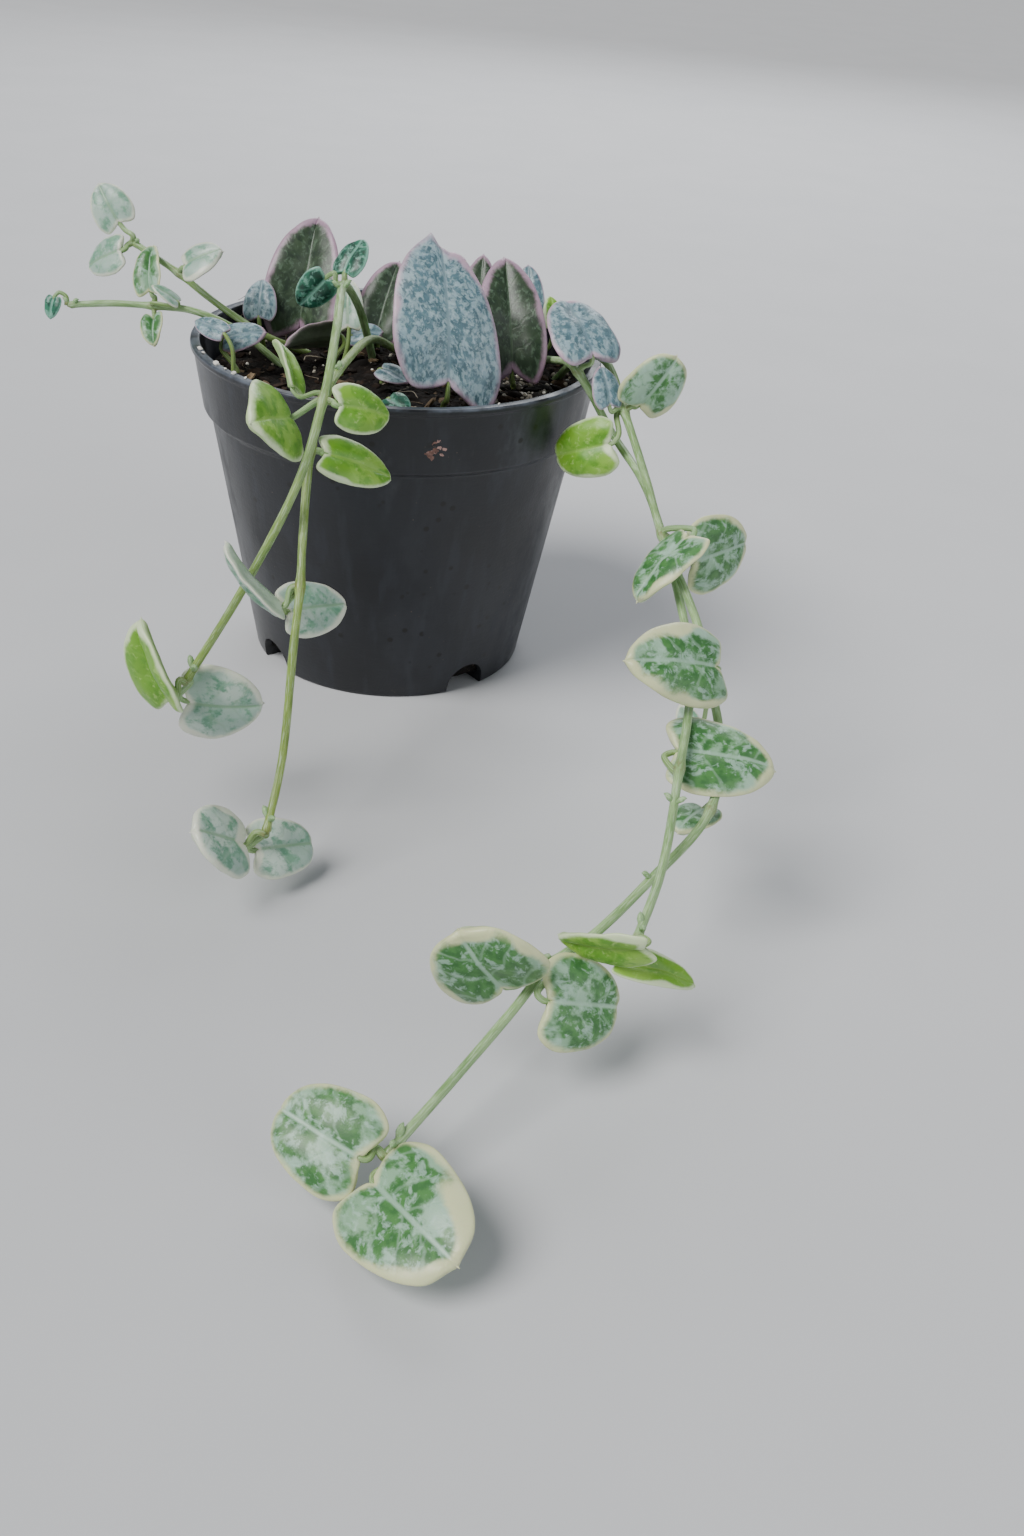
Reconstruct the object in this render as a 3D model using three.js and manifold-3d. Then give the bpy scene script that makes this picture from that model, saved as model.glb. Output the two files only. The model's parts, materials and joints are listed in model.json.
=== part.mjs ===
// A variegated string of hearts (Ceropegia woodii) in a small round nursery pot, in millimetres.
// The origin is the middle of the pot's underside, +Z is up, and the front of the plant faces -Y.
import * as THREE from 'three';
import { mergeVertices } from 'three/addons/utils/BufferGeometryUtils.js';
import Module from 'manifold-3d';

// ---- Pot
const RIM_RADIUS = 30;
const POT_HEIGHT = 48;
const BASE_RADIUS = 21;
const WALL = 1;
const COLLAR_HEIGHT = 9.5;
const COLLAR_TAPER = 1.2; // how much narrower the collar is at its lower edge than at the rim
const COLLAR_STEP = 1; // how far the collar stands out from the wall under it
const LEDGE = 0.8; // height of the sloping ledge under the collar
const LIP_HEIGHT = 1.2;
const LIP_WIDTH = 0.4;
const FLOOR_THICKNESS = 1.4;
const POT_SIDES = 48;

// ---- Drainage
const EDGE_NOTCHES = 4;
const EDGE_NOTCH_WIDTH = 6.5;
const EDGE_NOTCH_HEIGHT = 4.4;
const FIRST_NOTCH_AZIMUTH = -55;
const FLOOR_HOLES = 4;
const FLOOR_HOLE_RADIUS = 2.2;
const FLOOR_HOLE_CIRCLE = 11; // radius of the circle that the holes' centres lie on

// ---- Soil
const SOIL_BELOW_RIM = 5;
const SOIL_RELIEF = 0.9; // the height of its hills and hollows
const SOIL_RINGS = 5;

// ---- Plant
const STEM_RADIUS = 0.6;
const STEM_TIP_RADIUS = 0.5;
const STEM_STEP = 3; // distance between the rings of a stem's tube
const PETIOLE_RADIUS = 0.42;
const BLADE_THICKNESS = 0.9;
const GAP = 0.3; // between any two pieces that meet

const SOIL_TOP = POT_HEIGHT - SOIL_BELOW_RIM;
const COLLAR_BOTTOM = POT_HEIGHT - COLLAR_HEIGHT;

const radians = THREE.MathUtils.degToRad;
const vector = (x, y, z) => new THREE.Vector3(x, y, z);

// ---- Materials

const finish = (color, roughness) => new THREE.MeshStandardMaterial({ color, roughness, metalness: 0 });

const FINISHES = {
  pot_plastic: () => finish(0x3a3d46, 0.45),
  potting_mix: () => finish(0x17120f, 0.95),
  stem: () => finish(0xa9c08a, 0.5),
  leaf_marbled: () => finish(0x8fb59a, 0.45),
  leaf_silver: () => finish(0x9fb3bd, 0.5),
  leaf_fresh: () => finish(0x9ccb5f, 0.45),
  leaf_pale: () => finish(0xdfe8de, 0.45),
  leaf_olive: () => finish(0x6f8a63, 0.5),
  leaf_young: () => finish(0x4f8a70, 0.45),
};

// ---- Closed skins: rings of eight points between two end points
//
// Point 0 of a ring lies on the left, 2 on top, 4 on the right and 6 underneath, looking along the piece.
// The quads' diagonals are mirrored about the plane through points 2 and 6. From ring `flat` on the piece is
// a thin blade, and there its two faces have the same diagonals, so that they never cross.

const RING = 8;
const RIGHT_HALF = [2, 3, 4, 5];
const RIGHT_ON_TOP_LEFT_BELOW = [2, 3, 6, 7];

function skin(start, rings, end, flat = rings.length) {
  const points = [start, ...rings.flat(), end];
  const index = [];
  const at = (ring, i) => 1 + ring * RING + (i % RING);
  for (let i = 0; i < RING; i += 1) {
    index.push(0, at(0, i + 1), at(0, i));
    index.push(points.length - 1, at(rings.length - 1, i), at(rings.length - 1, i + 1));
  }
  for (let ring = 0; ring + 1 < rings.length; ring += 1) {
    const forwards = ring < flat ? RIGHT_HALF : RIGHT_ON_TOP_LEFT_BELOW;
    for (let i = 0; i < RING; i += 1) {
      const [a, b, c, d] = [at(ring, i), at(ring, i + 1), at(ring + 1, i), at(ring + 1, i + 1)];
      index.push(...(forwards.includes(i) ? [a, b, d, a, d, c] : [a, b, c, b, d, c]));
    }
  }
  const geometry = new THREE.BufferGeometry().setFromPoints(points);
  geometry.setIndex(index);
  geometry.computeVertexNormals();
  return geometry;
}

// A round ring about centre, with its left side towards left and its top towards up.
function roundRing(centre, left, up, radius) {
  return Array.from({ length: RING }, (_, i) => {
    const angle = (i / RING) * 2 * Math.PI;
    const [across, rise] = [radius * Math.cos(angle), radius * Math.sin(angle)];
    return centre.clone().addScaledVector(left, across).addScaledVector(up, rise);
  });
}

// Turns the direction `left` with the path from one tangent to the next.
function carried(left, from, to) {
  const turn = new THREE.Quaternion().setFromUnitVectors(from, to);
  return left.clone().applyQuaternion(turn);
}

function mesh(name, geometry, finishName) {
  const made = new THREE.Mesh(geometry, FINISHES[finishName]());
  made.name = name;
  return made;
}

// ---- Pot

const collarFoot = RIM_RADIUS - LIP_WIDTH - COLLAR_TAPER;
const wallHead = collarFoot - COLLAR_STEP;

// The radius of the pot's hollow at a height.
function hollowRadius(z) {
  if (z >= COLLAR_BOTTOM) {
    const share = (z - COLLAR_BOTTOM) / COLLAR_HEIGHT;
    return THREE.MathUtils.lerp(collarFoot, RIM_RADIUS - LIP_WIDTH, share) - WALL;
  }
  return THREE.MathUtils.lerp(BASE_RADIUS, wallHead, z / COLLAR_BOTTOM) - WALL;
}

function lathed(profile) {
  const points = profile.map(([radius, z]) => new THREE.Vector2(radius, z));
  return new THREE.LatheGeometry(points, POT_SIDES).rotateX(Math.PI / 2);
}

function potShell() {
  const edge = 0.5;
  return lathed([
    [0, 0],
    [BASE_RADIUS - edge, 0],
    [BASE_RADIUS, edge],
    [wallHead, COLLAR_BOTTOM - LEDGE],
    [collarFoot, COLLAR_BOTTOM],
    [RIM_RADIUS - LIP_WIDTH, POT_HEIGHT - LIP_HEIGHT],
    [RIM_RADIUS, POT_HEIGHT - LIP_HEIGHT + LIP_WIDTH],
    [RIM_RADIUS, POT_HEIGHT - LIP_WIDTH / 2],
    [RIM_RADIUS - LIP_WIDTH / 2, POT_HEIGHT],
    [hollowRadius(POT_HEIGHT), POT_HEIGHT],
    [hollowRadius(COLLAR_BOTTOM), COLLAR_BOTTOM],
    [hollowRadius(COLLAR_BOTTOM - LEDGE), COLLAR_BOTTOM - LEDGE],
    [hollowRadius(FLOOR_THICKNESS), FLOOR_THICKNESS],
    [0, FLOOR_THICKNESS],
  ]);
}

const wasm = await Module();
wasm.setup();

function solid(geometry) {
  const bare = geometry.clone().deleteAttribute('normal').deleteAttribute('uv');
  const merged = mergeVertices(bare, 1e-4);
  return new wasm.Manifold(
    new wasm.Mesh({
      numProp: 3,
      vertProperties: merged.attributes.position.array,
      triVerts: new Uint32Array(merged.index.array),
    }),
  );
}

function geometryOf(manifold) {
  const { vertProperties, triVerts } = manifold.getMesh();
  const geometry = new THREE.BufferGeometry();
  geometry.setAttribute('position', new THREE.BufferAttribute(vertProperties, 3));
  geometry.setIndex(new THREE.BufferAttribute(triVerts, 1));
  geometry.computeVertexNormals();
  return geometry;
}

// An arched opening through the lower edge of the wall, cut from outside to past the wall's inner face.
function edgeNotch(azimuth) {
  const spring = EDGE_NOTCH_HEIGHT - EDGE_NOTCH_WIDTH / 2;
  const depth = 6 * WALL;
  const arch = new THREE.Shape();
  arch.moveTo(-EDGE_NOTCH_WIDTH / 2, -1);
  arch.lineTo(EDGE_NOTCH_WIDTH / 2, -1);
  arch.lineTo(EDGE_NOTCH_WIDTH / 2, spring);
  arch.absarc(0, spring, EDGE_NOTCH_WIDTH / 2, 0, Math.PI);
  const cut = new THREE.ExtrudeGeometry(arch, { depth, bevelEnabled: false, curveSegments: 10 });
  cut.rotateX(Math.PI / 2).rotateZ(Math.PI / 2);
  cut.translate(BASE_RADIUS - depth + 2 * WALL, 0, 0);
  return cut.rotateZ(radians(azimuth));
}

function floorHole(azimuth) {
  const hole = new THREE.CylinderGeometry(FLOOR_HOLE_RADIUS, FLOOR_HOLE_RADIUS, 3 * FLOOR_THICKNESS, 16);
  return hole.rotateX(Math.PI / 2).translate(FLOOR_HOLE_CIRCLE, 0, 0).rotateZ(radians(azimuth));
}

function pot() {
  let shell = solid(potShell());
  for (let i = 0; i < EDGE_NOTCHES; i += 1) {
    shell = shell.subtract(solid(edgeNotch(FIRST_NOTCH_AZIMUTH + (360 * i) / EDGE_NOTCHES)));
  }
  for (let i = 0; i < FLOOR_HOLES; i += 1) {
    shell = shell.subtract(solid(floorHole(FIRST_NOTCH_AZIMUTH + (360 * (i + 0.5)) / FLOOR_HOLES)));
  }
  return mesh('pot', geometryOf(shell), 'pot_plastic');
}

// ---- Soil

const soilRadius = hollowRadius(SOIL_TOP) - GAP;

// The soil's surface over a point of the pot's mouth: low hills that die out at the wall.
function soilHeight(x, y) {
  const [u, v] = [x / soilRadius, y / soilRadius];
  const flatAtWall = Math.max(0, 1 - (u * u + v * v));
  const hills = Math.sin(5 * u + 1) * Math.cos(4 * v) + 0.6 * Math.sin(9 * v + 4 * u);
  return SOIL_TOP + SOIL_RELIEF * hills * flatAtWall;
}

function soil() {
  const foot = FLOOR_THICKNESS + GAP;
  const ledgeFoot = COLLAR_BOTTOM - LEDGE;
  const profile = [
    [0, foot],
    [hollowRadius(foot) - GAP, foot],
    [hollowRadius(ledgeFoot) - GAP, ledgeFoot + GAP],
    [hollowRadius(COLLAR_BOTTOM) - GAP, COLLAR_BOTTOM + 2 * GAP],
  ];
  for (let ring = SOIL_RINGS; ring >= 0; ring -= 1) {
    profile.push([(soilRadius * ring) / SOIL_RINGS, SOIL_TOP]);
  }
  const geometry = lathed(profile);
  const points = geometry.attributes.position;
  for (let i = 0; i < points.count; i += 1) {
    const onTop = points.getZ(i) > SOIL_TOP - 1e-3;
    if (onTop) points.setZ(i, soilHeight(points.getX(i), points.getY(i)));
  }
  return mesh('soil', geometry, 'potting_mix');
}

// ---- Stems

// A point over the soil: x and y as shares of the soil's radius, up in millimetres above its surface.
function overSoil(x, y, up) {
  const [px, py] = [x * soilRadius, y * soilRadius];
  return vector(px, py, soilHeight(px, py) + up);
}

// Points outside the pot: x and y in millimetres from the rim's edge at an azimuth, and the height as a
// share of the pot's height, so that a strand keeps its place over the rim and above the floor.
function beyondRim(azimuth) {
  const exit = vector(RIM_RADIUS * Math.cos(radians(azimuth)), RIM_RADIUS * Math.sin(radians(azimuth)), 0);
  return (x, y, height) => exit.clone().add(vector(x, y, height * POT_HEIGHT));
}

const front = beyondRim(-101);
const left = beyondRim(177);
const right = beyondRim(-30);
const ROOTED = STEM_RADIUS + GAP; // how far over the soil a stem's first point stands

const STEMS = {
  front_a: [
    overSoil(-0.14, 0.16, ROOTED),
    overSoil(-0.2, -0.12, 10.5),
    overSoil(-0.27, -0.5, 16),
    front(-2, -2.5, 1.22),
    front(-3, -14.5, 1.11),
    front(-5.5, -19.5, 0.94),
    front(-12, -23, 0.67),
    front(-19, -26.5, 0.43),
  ],
  front_b: [
    overSoil(0, 0.22, ROOTED),
    overSoil(-0.12, -0.2, 7),
    front(-0.5, 3.5, 1.11),
    front(-3, -10, 1.09),
    front(-4.5, -13, 0.97),
    front(-5, -21, 0.79),
    front(-5, -25.5, 0.7),
    front(-5.5, -30, 0.58),
    front(-6.5, -35.5, 0.32),
    front(-8, -42, 0.185),
  ],
  left_a: [
    overSoil(-0.55, 0.28, ROOTED),
    overSoil(-0.72, 0.18, 3.8),
    left(3, 3, 1.06),
    left(-2, 3.5, 1.135),
    left(-9.5, 9, 1.195),
  ],
  left_b: [
    overSoil(-0.66, 0.12, ROOTED),
    overSoil(-0.84, 0.07, 4.6),
    left(0.5, -0.5, 1.05),
    left(-5.5, 1, 1.05),
    left(-12, 1, 1.05),
    left(-18, 0.5, 1.04),
  ],
  right_a: [
    overSoil(0.72, 0.3, ROOTED),
    overSoil(0.82, -0.12, 4.8),
    right(-1, -2, 1.045),
    right(4.5, -2, 0.875),
    right(8, -12, 0.81),
    right(9.5, -22.5, 0.75),
    right(11, -39, 0.63),
    right(10.5, -48, 0.59),
    right(9, -56.5, 0.584),
    right(7, -65, 0.536),
    right(4, -77, 0.42),
    right(0.5, -85.5, 0.355),
  ],
  right_b: [
    overSoil(0.88, 0.08, ROOTED),
    overSoil(0.97, -0.2, 6.5),
    right(3.5, 2, 1.05),
    right(5.5, -4.5, 0.96),
    right(7.5, -15.5, 0.86),
    right(9, -26, 0.77),
    right(12.2, -41.1, 0.651),
    right(13.1, -49.6, 0.562),
    right(13.3, -55.1, 0.516),
    right(10.9, -66.5, 0.44),
    right(3, -75.5, 0.36),
    right(-3.5, -81.5, 0.3),
    right(-8, -84, 0.26),
    right(-11, -88, 0.23),
    right(-18, -96.5, 0.165),
    right(-24.5, -104.5, 0.115),
  ],
};

const pathOf = (points) => new THREE.CatmullRomCurve3(points, false, 'centripetal');

function stem(name, points) {
  const path = pathOf(points);
  const steps = Math.ceil(path.getLength() / STEM_STEP);
  let tangent = path.getTangentAt(0);
  let side = vector(tangent.y, -tangent.x, 0.01).cross(tangent).cross(tangent).normalize();
  const rings = [];
  for (let i = 0; i <= steps; i += 1) {
    const next = path.getTangentAt(i / steps);
    side = carried(side, tangent, next);
    tangent = next;
    const radius = THREE.MathUtils.lerp(STEM_RADIUS, STEM_TIP_RADIUS, i / steps);
    rings.push(roundRing(path.getPointAt(i / steps), side, tangent.clone().cross(side), radius));
  }
  const nib = STEM_RADIUS * 0.3;
  const start = path.getPointAt(0).addScaledVector(path.getTangentAt(0), -nib);
  const end = path.getPointAt(1).addScaledVector(tangent, nib);
  return mesh(`stem_${name}`, skin(start, rings, end), 'stem');
}

// ---- Leaves

// Half a heart, from the notch at the stalk to just before the tip. Each station has its place on the
// midrib, and its margin's place along and across, as shares of the length and of half the width.
const HEART = [
  { midrib: 0.04, along: -0.08, across: 0.34 },
  { midrib: 0.11, along: -0.1, across: 0.72 },
  { midrib: 0.24, along: 0.12, across: 0.98 },
  { midrib: 0.44, along: 0.42, across: 0.96 },
  { midrib: 0.66, along: 0.71, across: 0.74 },
  { midrib: 0.87, along: 0.91, across: 0.36 },
];

// The same for a broad leaf whose end is blunt.
const BLUNT = [
  ...HEART.slice(0, 4),
  { midrib: 0.68, along: 0.72, across: 0.8 },
  { midrib: 0.9, along: 0.92, across: 0.5 },
];

const axesOf = ({ heading, pitch, roll }) => {
  const [h, p, r] = [radians(heading), radians(pitch), radians(roll)];
  const forward = vector(Math.cos(h) * Math.cos(p), Math.sin(h) * Math.cos(p), Math.sin(p));
  const level = vector(-Math.sin(h), Math.cos(h), 0);
  const leftward = level.clone().applyAxisAngle(forward, r);
  return { forward, leftward, upward: forward.clone().cross(leftward) };
};

// A point of the blade in the leaf's own axes. The halves fold up from the midrib, the margins cup down,
// the midrib curls down through an angle over its length, and a skewed leaf's left half is pushed forward.
function bladePoint(leaf, along, across, lift) {
  const half = leaf.width / 2;
  const fold = radians(leaf.fold ?? 12);
  const cup = leaf.cup ?? 0.25;
  const curl = radians(leaf.curl ?? 25);
  const rise = half * (Math.abs(across) * Math.sin(fold) - cup * across * across) + lift;
  const turn = curl * (along + (leaf.skew ?? 0) * across - 0.5);
  const radius = leaf.length / curl;
  return vector(
    (radius + rise) * Math.sin(turn) + radius * Math.sin(curl / 2),
    across * half * Math.cos(fold),
    (radius + rise) * Math.cos(turn) - radius * Math.cos(curl / 2),
  );
}

function bladeRing(leaf, { midrib, along, across }) {
  const middle = THREE.MathUtils.lerp(midrib, along, 0.5);
  const [thick, thin] = [BLADE_THICKNESS / 2, BLADE_THICKNESS * 0.38];
  return [
    bladePoint(leaf, along, across, 0),
    bladePoint(leaf, middle, across / 2, thin),
    bladePoint(leaf, midrib, 0, thick),
    bladePoint(leaf, middle, -across / 2, thin),
    bladePoint(leaf, along, -across, 0),
    bladePoint(leaf, middle, -across / 2, -thin),
    bladePoint(leaf, midrib, 0, -thick),
    bladePoint(leaf, middle, across / 2, -thin),
  ];
}

// The stalk leaves its joint beside the stem, or stands over the soil, and runs into the midrib. A leaf's
// pull is how far behind the blade its stalk bends, and its lean how far it bows towards the upper face.
function leafMesh(leaf) {
  const { forward, leftward, upward } = axesOf(leaf);
  const placed = new THREE.Matrix4().makeBasis(forward, leftward, upward).setPosition(leaf.base);
  const reach = leaf.base.clone().sub(leaf.joint);
  const clear = STEM_RADIUS + GAP + PETIOLE_RADIUS * 0.7;
  const outward = reach.clone().projectOnPlane(leaf.along ?? vector(0, 0, 0)).normalize();
  const start = leaf.joint.clone().addScaledVector(outward, leaf.along ? clear : 0);
  const onMidrib = (along) => bladePoint(leaf, along, 0, 0).applyMatrix4(placed);
  let tangent = onMidrib(0.05).sub(onMidrib(0)).normalize();
  const pull = leaf.pull ?? 0.4 * reach.length();
  const bend = leaf.base.clone().addScaledVector(tangent, -pull).addScaledVector(upward, leaf.lean ?? 0);
  const stalk = new THREE.QuadraticBezierCurve3(start, bend, leaf.base.clone());
  const rings = [];
  let side = leftward.clone();
  for (const share of [0.86, 0.45, 0]) {
    const next = stalk.getTangent(share);
    side = carried(side, tangent, next);
    tangent = next;
    rings.unshift(roundRing(stalk.getPoint(share), side, tangent.clone().cross(side), PETIOLE_RADIUS));
  }
  const cap = start.clone().addScaledVector(tangent, -0.3 * PETIOLE_RADIUS);
  const lastOfStalk = rings.length - 1;
  for (const station of leaf.outline ?? HEART) {
    rings.push(bladeRing(leaf, station).map((point) => point.applyMatrix4(placed)));
  }
  const tip = bladePoint(leaf, 1, 0, 0).applyMatrix4(placed);
  return mesh(leaf.name, skin(cap, rings, tip, lastOfStalk), `leaf_${leaf.kind}`);
}

// A leaf on a strand: its joint is one of the strand's points, and its blade starts at reach from there.
function onStrand(strand, point, reach, kind, leaf) {
  const points = STEMS[strand];
  const joint = points[point].clone();
  const along = points[Math.min(point + 1, points.length - 1)].clone().sub(points[Math.max(point - 1, 0)]);
  return { ...leaf, joint, along: along.normalize(), base: joint.clone().add(vector(...reach)), kind };
}

// A leaf that grows straight out of the soil on a stalk of its own.
function inCrown(foot, reach, kind, leaf) {
  const joint = overSoil(foot[0], foot[1], PETIOLE_RADIUS + GAP);
  return { ...leaf, joint, base: joint.clone().add(vector(...reach)), kind };
}

// Each leaf: its name, then where it grows, how far its blade starts from there, its colouring and its
// pose and shape. Heading 0 is +X and 90 is +Y; pitch lifts the tip; roll turns the blade on its midrib.
const CROWN = [
  // name, foot on the soil, reach, colouring, pose and shape
  ['ovate', [-0.54, 0.44], [0, -1, 2], 'olive',
    { heading: 75, pitch: 60, roll: 0, length: 17, width: 13, fold: 25, cup: 0.1, pull: 0.9, lean: -0.5 }],
  ['edge', [-0.34, 0.18], [0.5, 0.5, 3.5], 'olive',
    { heading: -150, pitch: -5, roll: 60, length: 9, width: 6, fold: 20, pull: 1.6, lean: -1 }],
  ['round', [-0.74, 0.33], [-0.5, -1, 4.5], 'silver',
    { heading: 85, pitch: 50, roll: -10, length: 6, width: 5.5 }],
  ['low_left', [-0.84, -0.14], [-1.5, 0.5, 4], 'silver',
    { heading: 10, pitch: 10, roll: 35, length: 6, width: 5, pull: 2 }],
  ['over_rim', [-0.84, -0.3], [-1.5, 1.5, 6], 'silver',
    { heading: 140, pitch: 5, roll: -35, length: 5.5, width: 3.5 }],
  ['pink_back', [-0.12, 0.52], [0, -1, 2], 'olive',
    { heading: 65, pitch: 53, roll: 10, length: 12, width: 9, fold: 25, pull: 1.2 }],
  ['big_silver', [0.24, -0.52], [0.4, -2.5, 3.8], 'silver',
    { heading: 100, pitch: 58, roll: 4, length: 18.5, width: 15.5, fold: 8, cup: 0.15, outline: BLUNT,
      skew: 0.14, pull: 2.5 }],
  ['dark_right', [0.62, -0.1], [-0.5, -2, 2.5], 'olive',
    { heading: 100, pitch: 55, roll: -5, length: 17, width: 11, fold: 20, cup: 0.1, pull: 2 }],
  ['pointed', [0.4, 0.45], [0.5, -1, 3], 'olive',
    { heading: 80, pitch: 60, roll: 5, length: 12.5, width: 6.5 }],
  ['behind_right', [0.68, 0.42], [1, -1.5, 6.5], 'silver',
    { heading: 95, pitch: 55, roll: -15, length: 8, width: 5 }],
  ['small_right', [0.8, 0.42], [1, -6, 6.5], 'fresh',
    { heading: 105, pitch: 55, roll: 10, length: 4.5, width: 3.5 }],
  ['blush', [-0.3, 0.04], [1, 0.5, 6.5], 'pale',
    { heading: 90, pitch: 55, roll: -25, length: 7, width: 5 }],
  ['low_middle', [-0.28, 0.42], [0.5, -1, 1.5], 'silver',
    { heading: 0, pitch: 10, roll: 40, length: 5, width: 4 }],
  ['low_front', [-0.08, -0.14], [0, -2, 2], 'silver',
    { heading: -30, pitch: -15, roll: 20, length: 4.5, width: 4 }],
  ['under_silver', [-0.02, -0.64], [-0.3, -2.5, 2.5], 'young',
    { heading: -50, pitch: -15, roll: 25, length: 4, width: 4 }],
];

const ON_STRANDS = [
  // strand, point on it, number, reach, colouring, pose and shape
  ['left_a', 3, 1, [1, -1, 1.5], 'pale', { heading: -5, pitch: 25, roll: 35, length: 6, width: 6.5 }],
  ['left_a', 4, 2, [-2, 0.8, 2.5], 'pale', { heading: 135, pitch: 45, roll: -50, length: 6.5, width: 6.5 }],
  ['left_a', 4, 3, [-1.5, -2.1, -0.9], 'pale',
    { heading: 155, pitch: -30, roll: -55, length: 6.5, width: 6.5 }],
  ['left_b', 3, 1, [-0.5, 0.3, 2.1], 'marbled',
    { heading: 90, pitch: 50, roll: -30, length: 7, width: 6, fold: 35 }],
  ['left_b', 3, 2, [0, -1, -1.5], 'marbled',
    { heading: -85, pitch: -45, roll: 25, length: 4.5, width: 4.5, fold: 35, pull: 0.6, lean: 0.5 }],
  ['left_b', 3, 3, [3.5, -2.5, 1.5], 'pale', { heading: 180, pitch: 30, roll: -20, length: 4, width: 3 }],
  ['left_b', 5, 4, [-1.8, 0.3, 0.8], 'young',
    { heading: -125, pitch: -70, roll: -5, length: 3, width: 3, pull: 1.6 }],
  ['front_a', 2, 1, [0, 1.1, 1.45], 'young',
    { heading: 55, pitch: 40, roll: -5, length: 5.5, width: 5.5, pull: 0.7 }],
  ['front_a', 2, 2, [-2.6, 0.5, 0.6], 'young',
    { heading: 150, pitch: -45, roll: -115, length: 6, width: 5, pull: 2.5 }],
  ['front_a', 4, 3, [-4.7, 1.4, -3.2], 'fresh',
    { heading: -110, pitch: 15, roll: -55, length: 10, width: 11 }],
  ['front_a', 4, 4, [2, -0.5, -0.4], 'fresh',
    { heading: 35, pitch: -20, roll: 55, length: 7.5, width: 6.5, pull: 0.9 }],
  ['front_b', 4, 1, [1.8, 0, -0.6], 'fresh',
    { heading: 20, pitch: -25, roll: 45, length: 9.5, width: 6.5, pull: 0.6 }],
  ['front_b', 3, 2, [-4, 0, 1], 'fresh',
    { heading: 115, pitch: 30, roll: 45, length: 7.5, width: 5, fold: 35, pull: 2.5 }],
  ['front_b', 6, 3, [-2.5, -1, -2], 'pale',
    { heading: 170, pitch: 50, roll: -145, length: 10, width: 6.5, fold: 35 }],
  ['front_b', 6, 4, [-1.6, 1.7, -4], 'pale', { heading: 40, pitch: -10, roll: 50, length: 9, width: 7.5 }],
  ['front_a', 7, 5, [-1.5, -1, -1.5], 'fresh',
    { heading: 155, pitch: 68, roll: -110, length: 10.5, width: 10.5, fold: 35, pull: 0.9, lean: -0.5 }],
  ['front_a', 7, 6, [0, 2, -3.8], 'pale',
    { heading: 10, pitch: -5, roll: 90, length: 9.5, width: 11, pull: 2.5, lean: 0.5 }],
  ['front_b', 9, 5, [-3, -1, -1], 'pale',
    { heading: -140, pitch: 35, roll: -40, length: 8, width: 9.5, outline: BLUNT }],
  ['front_b', 9, 6, [-1.2, 0.8, -2.9], 'pale',
    { heading: 35, pitch: -15, roll: 45, length: 8, width: 8, pull: 2.5, outline: BLUNT }],
  ['right_a', 2, 1, [1.5, -0.5, 2.5], 'silver',
    { heading: 115, pitch: 30, roll: 0, length: 10, width: 10.5, outline: BLUNT }],
  ['right_b', 3, 1, [-2.3, -1, 1.1], 'silver',
    { heading: 115, pitch: 50, roll: -5, length: 5.5, width: 4.5, pull: 1.6, lean: -0.5 }],
  ['right_b', 3, 2, [1.9, -0.5, 1.2], 'marbled',
    { heading: -15, pitch: 60, roll: 110, length: 8.5, width: 8.5, outline: BLUNT }],
  ['right_b', 3, 3, [-1.9, -3, -3.8], 'fresh',
    { heading: 150, pitch: -25, roll: -75, length: 8.5, width: 8.5, outline: BLUNT }],
  ['right_b', 5, 4, [2.5, -5.2, 1.6], 'marbled',
    { heading: -143, pitch: -39, roll: 15, length: 10.5, width: 8.7, pull: 3.6 }],
  ['right_b', 5, 5, [4.5, -0.5, -3], 'marbled',
    { heading: 35, pitch: 5, roll: 80, length: 9, width: 11, outline: BLUNT }],
  ['right_a', 7, 2, [1.5, -5.1, 3.8], 'marbled',
    { heading: -160, pitch: 12, roll: -45, length: 12.5, width: 10.5 }],
  ['right_a', 9, 5, [0.5, 4.4, -0.8], 'marbled',
    { heading: 0, pitch: -10, roll: 25, length: 12, width: 11, pull: 3 }],
  ['right_b', 7, 6, [-1.3, 1.8, -6.1], 'pale',
    { heading: 110, pitch: 20, roll: -45, length: 3.8, width: 3 }],
  ['right_b', 9, 7, [0.3, 4.4, -3], 'marbled',
    { heading: -130, pitch: -5, roll: 10, length: 5.5, width: 6, pull: 4, lean: 1.2 }],
  ['right_a', 11, 3, [0.2, -2.3, 1.4], 'fresh',
    { heading: 150, pitch: -15, roll: -115, length: 9.5, width: 6.5, fold: 25, pull: 1.2, lean: -0.5 }],
  ['right_a', 11, 4, [-1.3, 0.5, -3.2], 'fresh',
    { heading: 10, pitch: -25, roll: 20, length: 10, width: 5, fold: 25, pull: 2.5 }],
  ['right_b', 12, 8, [-4.9, -3.9, 0.5], 'marbled',
    { heading: -175, pitch: 55, roll: -105, length: 9, width: 12.5, outline: BLUNT }],
  ['right_b', 12, 9, [-0.2, -4.5, -1], 'marbled',
    { heading: 20, pitch: -20, roll: 55, length: 8.5, width: 10.5, pull: 3, outline: BLUNT }],
  ['right_b', 15, 10, [-2.3, -0.5, 0.4], 'marbled',
    { heading: 145, pitch: 5, roll: -40, length: 9.5, width: 10.5, outline: BLUNT }],
  ['right_b', 15, 11, [-0.8, -2.8, -0.7], 'marbled',
    { heading: -53, pitch: 3, roll: 27, length: 12.5, width: 12.5, pull: 2.5, lean: -0.5, outline: BLUNT }],
];

const LEAVES = [
  ...CROWN.map(([name, foot, reach, kind, leaf]) => ({
    name: `leaf_crown_${name}`,
    ...inCrown(foot, reach, kind, leaf),
  })),
  ...ON_STRANDS.map(([strand, point, number, reach, kind, leaf]) => ({
    name: `leaf_${strand}_${number}`,
    ...onStrand(strand, point, reach, kind, leaf),
  })),
];

// ---- The whole

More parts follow.
